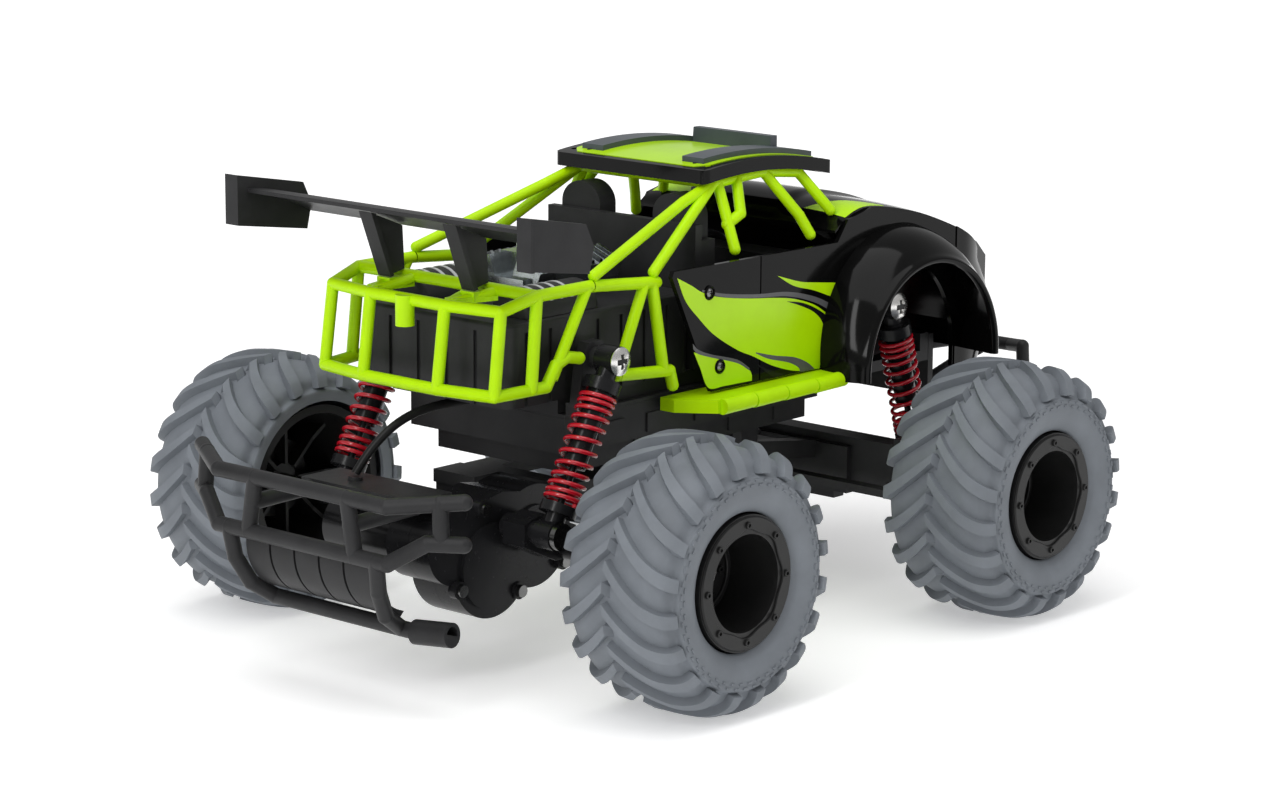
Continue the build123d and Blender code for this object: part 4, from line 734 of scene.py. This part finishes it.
def cross_shadow(name, centre, side, radius, lift):
    """Dark floor of a screw's cross: two thin bars across each other, from the head's own proportions."""
    reach, half = 0.47 * radius, 0.125 * radius
    shapes = [frustum(reach, half, lift, 0.0), frustum(half, reach, lift * 0.98, 0.0)]
    points = np.concatenate(shapes)
    placed = np.stack([points[:, 0], side * points[:, 2], points[:, 1]], 1) + np.asarray(centre)
    faces = np.concatenate([FRUSTUM_FACES, FRUSTUM_FACES + len(shapes[0])])
    return dress(mesh_piece(name, placed, faces), "black_decal", "chassis")


class TRUCK_OT_screws(bpy.types.Operator):
    """Bright domed screws on the shock absorbers and small dark screws in rings on the doors"""
    bl_idname = "truck.screws"
    bl_label = "Screws"

    def execute(self, context):
        for side_name, side in SIDES.items():
            for axle, (top, _) in SHOCKS.items():
                centre = (top[0], side * SHOCK_SCREW_Y, top[1])
                end = f"{axle}_{side_name}"
                head = screw_piece(f"shock_screw_head_{end}", centre, side, "screw_steel", **SHOCK_SCREW)
                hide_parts("shock_screws")
                cross_shadow(f"shock_screw_cross_{end}", centre, side, SHOCK_SCREW["radius"], CROSS_LIFT)
            for count, (x, z) in enumerate(DOOR_SCREWS):
                centre = (x, side * DOOR_SCREW_Y, z)
                head = screw_piece(f"door_screw_{side_name}_{count}", centre, side, "screw_dark", **DOOR_SCREW)
                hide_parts("body_screws")
                ring = wavy_ring(side, WASHER_RADII, WASHER_FACE, WASHER_HEIGHT) + (x, 0.0, z)
                washer = torus_piece(f"door_washer_{side_name}_{count}", ring)
                dress(washer, "body_gloss", "chassis")
        return {"FINISHED"}


ROOF_LINE = ((-12.5, 195.4), (30.0, 197.2), (71.5, 191.4))
ROOF_SHEET = ((-9.0, 33.0), (-4.0, 38.0), (64.0, 38.0), (68.0, 33.0))
VENT_CENTRE = (-3.0, 30.0)
VENT_HALF = (2.6, 1.2)


def roof_height(x):
    """Arched roof line through its three heights: the parabola through rear, middle and front."""
    return np.polyval(np.polyfit(*zip(*ROOF_LINE), 2), x)


class TRUCK_OT_roof_skin(bpy.types.Operator):
    """Lime sheet on the roof panel between its black borders, with two small oval holes shown dark"""
    bl_idname = "truck.roof_skin"
    bl_label = "Roof skin"

    def execute(self, context):
        x = np.linspace(ROOF_SHEET[0][0], ROOF_SHEET[-1][0], 40)
        yy = np.interp(x, *zip(*ROOF_SHEET))[:, None] * np.linspace(-1, 1, 25)[None]
        xx = np.broadcast_to(x[:, None], yy.shape)
        top = np.stack([xx, yy, roof_height(xx) + 0.32], 2)
        under = np.stack([xx, yy, roof_height(xx) - 0.4], 2)
        piece = slab_piece("roof_lime_sheet", top, under)
        dress(piece, "lime_decal", "chassis")
        for side_name, side in SIDES.items():
            turn = np.linspace(0, 2 * math.pi, 40, endpoint=False)
            rings = np.linspace(1.0, 0.0, 5)[:, None]
            ox = VENT_CENTRE[0] + VENT_HALF[0] * rings * np.cos(turn)
            oy = side * VENT_CENTRE[1] + VENT_HALF[1] * rings * np.sin(turn)
            base = roof_height(ox)
            flat = np.stack([ox, oy, base + 0.45], 2)
            deep = np.stack([ox, oy, base], 2)[::-1]
            grid = np.concatenate([deep, flat])
            hole = mesh_piece(f"roof_vent_{side_name}", grid.reshape(-1, 3), grid_faces(10, 40, False, True))
            merge(hole)
            dress(hole, "black_decal", "chassis")
        return {"FINISHED"}


BANK_SLOPE = ((8.0, 164.0), (21.0, 159.0))
BANK_X = (-86.0, -42.0)
BANK_RIBS = 10
RIB = frustum(6.3, 1.15, 1.5, 0.45)
STRIPE_X = (-108.0, -102.0, -96.0, -90.0)
STRIPE_WIDTH = 1.6
HUMP_AXIS = (29, 146.2)
HUMP_HALF = (11.5, 11.0)


def bank_ribs(side):
    """Ribs across the sloping top of a cylinder bank, spaced evenly along the engine."""
    low, high = np.array(BANK_SLOPE[0]), np.array(BANK_SLOPE[1])
    middle, along = (low + high) / 2, (high - low) / np.linalg.norm(high - low)
    x = np.linspace(*BANK_X, BANK_RIBS)
    origins = np.stack([x, np.full(BANK_RIBS, side * middle[0]), np.full(BANK_RIBS, middle[1])], 1)
    axes = np.array([(0.0, side * along[0], along[1]), (1.0, 0.0, 0.0), (0.0, -side * along[1], along[0])])
    return many(RIB, FRUSTUM_FACES, origins, np.broadcast_to(axes, (BANK_RIBS, 3, 3)))


class TRUCK_OT_bed_details(bpy.types.Operator):
    """Ribs on the toy engine and pale stripes over the two humps on the bed"""
    bl_idname = "truck.bed_details"
    bl_label = "Bed details"

    def execute(self, context):
        for side_name, side in SIDES.items():
            ribs = mesh_piece(f"engine_ribs_{side_name}", *bank_ribs(side))
            dress(ribs, "engine_chrome", "chassis")
            for count, x in enumerate(STRIPE_X):
                turn = np.linspace(0.18 * math.pi, 0.82 * math.pi, 30)[:, None]
                across = np.linspace(x, x + STRIPE_WIDTH, 3)[None]
                layers = []
                for lift in (0.25, -0.6):
                    yy = side * HUMP_AXIS[0] + (HUMP_HALF[0] + lift) * np.cos(turn)
                    zz = HUMP_AXIS[1] + (HUMP_HALF[1] + lift) * np.sin(turn)
                    layers.append(np.stack(np.broadcast_arrays(across, yy, zz), 2))
                stripe = slab_piece(f"hump_stripe_{side_name}_{count}", layers[0], layers[1])
                dress(stripe, "hump_stripe", "chassis")
        return {"FINISHED"}


BRACE_RADIUS = 2.35
BRACES = (((-93.5, 50.6, 157.6), (-114.5, 51.5, 123.8)), ((-59.0, 50.6, 155.0), (-76.0, 51.5, 120.5)))


class TRUCK_OT_cage_braces(bpy.types.Operator):
    """Two slanting lime tubes a side that carry the cage's diagonals down past the bed rail"""
    bl_idname = "truck.cage_braces"
    bl_label = "Cage braces"

    def execute(self, context):
        for side_name, side in SIDES.items():
            for count, ends in enumerate(BRACES):
                path = np.linspace(*(np.array(point) * (1, side, 1) for point in ends), 4)
                brace = capped_piece(f"cage_brace_{side_name}_{count}", tube_grid(path, BRACE_RADIUS, 24), 60.0)
                dress(brace, "lime_plastic", "chassis")
        return {"FINISHED"}


# ---------------------------------------------------------------- bonnet, arches and nose
BONNET_LINE = [(57.0, 163.5), (64.0, 167.6), (80.0, 171.3), (110.0, 166.3), (138.0, 157.2), (163.0, 146.2),
               (176.0, 137.2)]
BONNET_HALF = ((57, 56.5), (146, 56.5), (174, 49.0), (180, 44.0))
BONNET_LIFT = 0.3
COWL_X = (64.0, 92.0)
COWL_REACH = ((64, 1.0), (72, 0.72), (92, 0.04))


def bonnet_crown(v):
    """Height over the body's own line at the share v of the half width: a broad crown, 2.2 (1 - v^4), and a
    raised middle panel with soft edges."""
    return 2.2 * (1 - np.abs(v) ** 4) + 1.6 * smooth_step(0.42 - np.abs(v), 0.0, 0.10)


class TRUCK_OT_bonnet(bpy.types.Operator):
    """Smooth crowned bonnet skin over the body's faceted top, with a lime cowl sheet at its rear"""
    bl_idname = "truck.bonnet"
    bl_label = "Bonnet"

    def execute(self, context):
        line = rounded_line(BONNET_LINE, 12)
        v = np.linspace(-1, 1, 61)[None]
        half = np.interp(line[:, 0], *zip(*BONNET_HALF))[:, None]
        yy = half * v
        fade = smooth_step(line[:, :1], 57.0, 66.0) * (1 - smooth_step(line[:, :1], 160.0, 176.0))
        height = line[:, 1:] + BONNET_LIFT + bonnet_crown(v) * fade
        xx = np.broadcast_to(line[:, :1], height.shape)
        top = np.stack([xx, yy, height], 2)
        under = np.stack([xx, yy, np.broadcast_to(line[:, 1:] - 0.8, height.shape)], 2)
        skin = slab_piece("bonnet_skin", top, under, 40.0)
        dress(skin, "body_gloss", "chassis")
        rows = (line[:, 0] > COWL_X[0]) & (line[:, 0] < COWL_X[1])
        reach = np.interp(line[rows, 0], *zip(*COWL_REACH))
        t = np.linspace(0.0, 1.0, 14)[None]
        for side_name, side in SIDES.items():
            share = side * (0.98 - 0.42 * t * reach[:, None])
            yy = half[rows] * share
            z = line[rows, 1:] + BONNET_LIFT + bonnet_crown(share) * fade[rows]
            xx = np.broadcast_to(line[rows, :1], z.shape)
            sheet = slab_piece(f"cowl_sheet_{side_name}", np.stack([xx, yy, z + 0.12], 2),
                               np.stack([xx, yy, z - 0.2], 2))
            dress(sheet, "lime_decal", "chassis")
        return {"FINISHED"}


ARCH_ROOT = ((47.0, 106.0), (95.5, 162.5), (147.0, 106.0))
ARCH_ROOT_UNDER = ((50.5, 106.0), (95.5, 159.0), (143.5, 106.0))
ARCH_LIP = ((49.0, 106.0), (95.5, 150.5), (143.0, 106.0))
ARCH_LIP_UNDER = ((52.2, 106.0), (95.5, 147.5), (139.8, 106.0))
ARCH_Y = (57.0, 80.0)
ARCH_FOOT = 4.5
ARCH_COVER = 0.4        # how far the skin stands off the body's own arch
ARCH_SWELL = 2.4


def arch_line(points, y, steps=72):
    """Even steps along the arc through three (x, z) points, from the rear foot over the top to the front foot.

    The centre solves 2 (b - a) . c = b.b - a.a and the same for the third point."""
    a, b, c = (np.asarray(point, float) for point in points)
    centre = np.linalg.solve(2 * np.array([b - a, c - a]), [b @ b - a @ a, c @ c - a @ a])
    start = math.atan2(a[1] - centre[1], a[0] - centre[0]) % (2 * math.pi)
    end = math.atan2(c[1] - centre[1], c[0] - centre[0])
    turn = np.linspace(start, end, steps)
    radius = np.linalg.norm(a - centre)
    x, z = centre[0] + radius * np.cos(turn), centre[1] + radius * np.sin(turn)
    return np.stack([x, np.full(steps, y), z], 1)


def fender_grid(side):
    """Smooth wheel arch: rows run along the arch, columns round its section.

    The top swells off the straight line from root to lip by the swell times sin(pi v), the lip is a half
    circle, and the underside is straight."""
    root, lip = arch_line(ARCH_ROOT, ARCH_Y[0]), arch_line(ARCH_LIP, ARCH_Y[1])
    root_under, lip_under = arch_line(ARCH_ROOT_UNDER, ARCH_Y[0]), arch_line(ARCH_LIP_UNDER, ARCH_Y[1])
    across = lip - root
    across /= np.linalg.norm(across, axis=1)[:, None]
    normal = lip - lip_under
    normal -= np.sum(normal * across, 1)[:, None] * across
    normal /= np.linalg.norm(normal, axis=1)[:, None]
    v = np.linspace(0, 1, 14)[None, :, None]
    swell = ARCH_COVER + ARCH_SWELL * np.sin(math.pi * v)
    top = root[:, None] * (1 - v) + lip[:, None] * v + swell * normal[:, None]
    middle = (lip + lip_under) / 2
    radius = np.linalg.norm(lip - lip_under, axis=1)[:, None, None] / 2 + ARCH_COVER
    turn = np.linspace(0, math.pi, 9)[None, 1:, None]
    edge = middle[:, None] + radius * (normal[:, None] * np.cos(turn) + across[:, None] * np.sin(turn))
    under = (root_under - ARCH_COVER * normal)[:, None]
    grid = np.concatenate([top, edge, under], 1)
    down = np.array([0.0, 0.0, ARCH_FOOT])
    grid = np.concatenate([grid[:1] - down, grid, grid[-1:] - down])
    return grid * (1, side, 1)


class TRUCK_OT_fenders(bpy.types.Operator):
    """Smooth glossy wheel arches with a rolled lip over the front wheels"""
    bl_idname = "truck.fenders"
    bl_label = "Fenders"

    def execute(self, context):
        for side_name, side in SIDES.items():
            fender = capped_piece(f"fender_{side_name}", fender_grid(side), 40.0)
            dress(fender, "body_gloss", "chassis")
        return {"FINISHED"}


GRILLE_Z = (106.0, 125.0)
SLATS = 6
SLAT = frustum(15.0, 1.1, 1.3, 0.4)
LAMP_CENTRE = (186.6, 26.0, 117.0)
BEZEL_RADIUS = 8.1
BEZEL_SECTION = (1.3, 1.1)
NOSE_PLAN = [(141.0, 58.5), (152.0, 57.9), (163.0, 55.4), (172.0, 51.8), (179.0, 47.0), (183.4, 42.9),
             (185.2, 38.5), (185.5, 30.0), (185.5, 15.0), (185.5, 0.0)]
NOSE_FRONT = [(93.0, 180.0), (98.0, 182.4), (104.0, 184.7), (114.0, 185.5), (124.0, 185.3), (131.0, 181.8),
              (138.0, 177.4)]
NOSE_TOP = [(141.0, 156.2), (163.0, 146.8), (176.0, 138.0), (186.0, 138.0)]
NOSE_SKIN = 0.9
NOSE_HALF = 58


def nose_grid(shrink):
    """Rounded nose from arch to arch: the plan curve, drawn back at each height by the front's profile.

    x = plan x - (greatest x - front x at that height) times the share of the way from the arch to the front."""
    half = rounded_line(NOSE_PLAN, 7)
    plan = np.concatenate([half, (half * (1, -1))[-2::-1]])
    low, front = NOSE_FRONT[0][0], NOSE_PLAN[-1][0]
    profile = rounded_line(NOSE_FRONT, 8)
    top = np.interp(plan[:, 0], *zip(*NOSE_TOP))[:, None]
    z = low + (top - low) * np.linspace(0, 1, 30)[None]
    share = smooth_step(plan[:, :1], NOSE_PLAN[0][0], front)
    x = plan[:, :1] - (front - np.interp(z, profile[:, 0], profile[:, 1])) * share
    y = np.broadcast_to(plan[:, 1:] * (1 - shrink / NOSE_HALF), z.shape)
    return np.stack([x - shrink * share, y, z], 2)


class TRUCK_OT_nose(bpy.types.Operator):
    """Rounded skin over the nose, with a slatted grille and lamp bezels"""
    bl_idname = "truck.nose"
    bl_label = "Nose"

    def execute(self, context):
        skin = slab_piece("nose_skin", nose_grid(0.0), nose_grid(NOSE_SKIN), 40.0)
        dress(skin, "body_gloss", "chassis")
        z = np.linspace(*GRILLE_Z, SLATS)
        origins = np.stack([np.interp(z, *zip(*NOSE_FRONT)), 0 * z, z], 1)
        axes = np.array([(0.0, 1.0, 0.0), (0.05, 0.0, 1.0), (1.0, 0.0, -0.05)])
        points, faces = many(SLAT, FRUSTUM_FACES, origins, np.broadcast_to(axes, (SLATS, 3, 3)))
        dress(mesh_piece("grille_slats", points, faces), "chassis_black", "chassis")
        turn = np.linspace(0, 2 * math.pi, 72, endpoint=False)
        round_section = np.linspace(0, 2 * math.pi, 14, endpoint=False)[:, None]
        reach = BEZEL_RADIUS + BEZEL_SECTION[1] * np.cos(round_section)
        x = LAMP_CENTRE[0] + BEZEL_SECTION[0] * np.sin(round_section) + 0 * turn
        for side_name, side in SIDES.items():
            y = side * LAMP_CENTRE[1] + reach * np.cos(turn)
            z = LAMP_CENTRE[2] + reach * np.sin(turn)
            grid = np.stack([x, y, z], 2)
            bezel = torus_piece(f"lamp_bezel_{side_name}", grid, 60.0)
            dress(bezel, "body_gloss", "chassis")
        return {"FINISHED"}


# ---------------------------------------------------------------- CAD nodes' finishes
NODE_FINISH = {"drive_motor": "motor_black", "axle_screws": "screw_dark"}


class TRUCK_OT_finishes(bpy.types.Operator):
    """Gives every node of the frame the finish of its material slot"""
    bl_idname = "truck.finishes"
    bl_label = "Finishes"

    def execute(self, context):
        for node, obj in frame["nodes"].items():
            obj.data.materials.clear()
            obj.data.materials.append(MATERIALS[NODE_FINISH.get(node, NODE_SLOT[node])])
        return {"FINISHED"}


# ---------------------------------------------------------------- stage
CAMERA_PLACE = (-1162.1, -1034.6, 417.2)
CAMERA_AIM = (-7.39, 0.0, 91.49)
CAMERA_ROLL = 0.318
WORLD_LIGHT = 0.42      # what the surroundings shed on the truck; the camera sees them plain white
FLOOR_REACH = 9000.0
FLOOR_WHITE = (0.90, 0.90, 0.90)
FLOOR_GLOW = (0.38, 0.75)
GLOW_REACH = (0.45, 1.6)


def area_light(name, place, aim, size, power):
    light = bpy.data.lights.new(name, "AREA")
    light.shape = "RECTANGLE"
    light.size, light.size_y = size
    light.energy = power
    obj = bpy.data.objects.new(name, light)
    obj.location = place
    obj.rotation_euler = (Vector(aim) - Vector(place)).to_track_quat("-Z", "Y").to_euler()
    bpy.context.scene.collection.objects.link(obj)


def brighten_outwards(material, shader):
    """The floor glows more the further it is from the object, so that it fades to plain white."""
    nodes, links = material.node_tree.nodes, material.node_tree.links
    place = nodes.new("ShaderNodeTexCoord")
    distance = nodes.new("ShaderNodeVectorMath")
    distance.operation = "LENGTH"
    span = nodes.new("ShaderNodeMapRange")
    span.inputs["From Min"].default_value = GLOW_REACH[0]
    span.inputs["From Max"].default_value = GLOW_REACH[1]
    span.inputs["To Min"].default_value = FLOOR_GLOW[0]
    span.inputs["To Max"].default_value = FLOOR_GLOW[1]
    links.new(place.outputs["Object"], distance.inputs[0])
    links.new(distance.outputs["Value"], span.inputs["Value"])
    links.new(span.outputs["Result"], shader.inputs["Emission Strength"])


def see_through_from_below(material, shader):
    """The floor's underside lets the camera through, so that the truck can be looked at from below."""
    nodes, links = material.node_tree.nodes, material.node_tree.links
    side = nodes.new("ShaderNodeNewGeometry")
    topside = nodes.new("ShaderNodeMath")
    topside.operation = "SUBTRACT"
    topside.inputs[0].default_value = 1.0
    links.new(side.outputs["Backfacing"], topside.inputs[1])
    links.new(topside.outputs["Value"], shader.inputs["Alpha"])


class TRUCK_OT_stage(bpy.types.Operator):
    """Plain white floor, soft lights and the camera"""
    bl_idname = "truck.stage"
    bl_label = "Stage"

    def execute(self, context):
        scene = context.scene
        corners = FLOOR_REACH * np.array([(-1, -1, 0), (1, -1, 0), (-1, 1, 0), (1, 1, 0)], float)
        floor = mesh_piece("floor", corners, grid_faces(2, 2))
        material, shader = base_material("floor_white", FLOOR_WHITE, 0.7)
        vary_colour(material, shader, FLOOR_WHITE, 3.0, 0.99, 1.01)
        shader.inputs["Emission Color"].default_value = (1, 1, 1, 1)
        brighten_outwards(material, shader)
        see_through_from_below(material, shader)
        floor.data.materials.append(material)
        world = bpy.data.worlds.new("studio")
        world.use_nodes = True
        world.node_tree.nodes["Background"].inputs["Color"].default_value = (1, 1, 1, 1)
        nodes, links = world.node_tree.nodes, world.node_tree.links
        rays = nodes.new("ShaderNodeLightPath")
        span = nodes.new("ShaderNodeMapRange")
        span.inputs["To Min"].default_value = WORLD_LIGHT
        links.new(rays.outputs["Is Camera Ray"], span.inputs["Value"])
        links.new(span.outputs["Result"], nodes["Background"].inputs["Strength"])
        scene.world = world
        power = scene.truck_stage.key_power
        area_light("overhead", (-0.2, -0.1, 1.5), (0, 0, 0.1), (1.5, 1.5), power)
        area_light("tail_strip", (-1.3, -0.25, 0.9), (0, 0, 0.1), (0.25, 1.2), power * 0.6)
        area_light("side_strip", (0.45, -1.3, 1.0), (0, 0, 0.12), (0.9, 0.2), power * 0.11)
        camera = bpy.data.cameras.new("camera")
        camera.lens = scene.truck_stage.lens
        camera.sensor_width = 36.0
        camera.clip_start, camera.clip_end = 0.05, 50.0
        eye = bpy.data.objects.new("camera", camera)
        place, aim = Vector(CAMERA_PLACE) * MM, Vector(CAMERA_AIM) * MM
        back = (place - aim).normalized()
        x_axis = Vector((0, 0, 1)).cross(back).normalized()
        y_axis = back.cross(x_axis)
        c, s = math.cos(math.radians(CAMERA_ROLL)), math.sin(math.radians(CAMERA_ROLL))
        x_turned, y_turned = c * x_axis + s * y_axis, c * y_axis - s * x_axis
        turn = Matrix((x_turned, y_turned, back)).transposed().to_4x4()
        eye.matrix_world = Matrix.Translation(place) @ turn
        scene.collection.objects.link(eye)
        scene.camera = eye
        scene.view_settings.view_transform = "Standard"
        return {"FINISHED"}


class TRUCK_PT_panel(bpy.types.Panel):
    bl_label = "Toy monster truck"
    bl_idname = "TRUCK_PT_panel"
    bl_space_type = "VIEW_3D"
    bl_region_type = "UI"
    bl_category = "Truck"

    def draw(self, context):
        for operator in OPERATORS:
            self.layout.operator(operator.bl_idname)
        for key in GROUPS:
            group = getattr(context.scene, key)
            for value in group.__annotations__:
                self.layout.prop(group, value)


OPERATORS = (TRUCK_OT_finishes, TRUCK_OT_tyres, TRUCK_OT_wheel_details, TRUCK_OT_springs, TRUCK_OT_motor_lead,
             TRUCK_OT_door_decals, TRUCK_OT_screws, TRUCK_OT_roof_skin, TRUCK_OT_bed_details,
             TRUCK_OT_cage_braces, TRUCK_OT_bonnet, TRUCK_OT_fenders, TRUCK_OT_nose, TRUCK_OT_stage)


def register():
    for cls in (*GROUPS.values(), *OPERATORS, TRUCK_PT_panel):
        bpy.utils.register_class(cls)
    for key, group in GROUPS.items():
        setattr(bpy.types.Scene, key, bpy.props.PointerProperty(type=group))


def unregister():
    for key in GROUPS:
        delattr(bpy.types.Scene, key)
    for cls in (TRUCK_PT_panel, *reversed(OPERATORS), *reversed(list(GROUPS.values()))):
        bpy.utils.unregister_class(cls)


def main():
    register()
    MATERIALS.update(make_materials())
    bpy.ops.truck.finishes()
    bpy.ops.truck.tyres()
    bpy.ops.truck.wheel_details()
    bpy.ops.truck.springs()
    bpy.ops.truck.motor_lead()
    bpy.ops.truck.door_decals()
    bpy.ops.truck.screws()
    bpy.ops.truck.roof_skin()
    bpy.ops.truck.bed_details()
    bpy.ops.truck.cage_braces()
    bpy.ops.truck.bonnet()
    bpy.ops.truck.fenders()
    bpy.ops.truck.nose()
    bpy.ops.truck.stage()


if __name__ == "__main__":
    main()
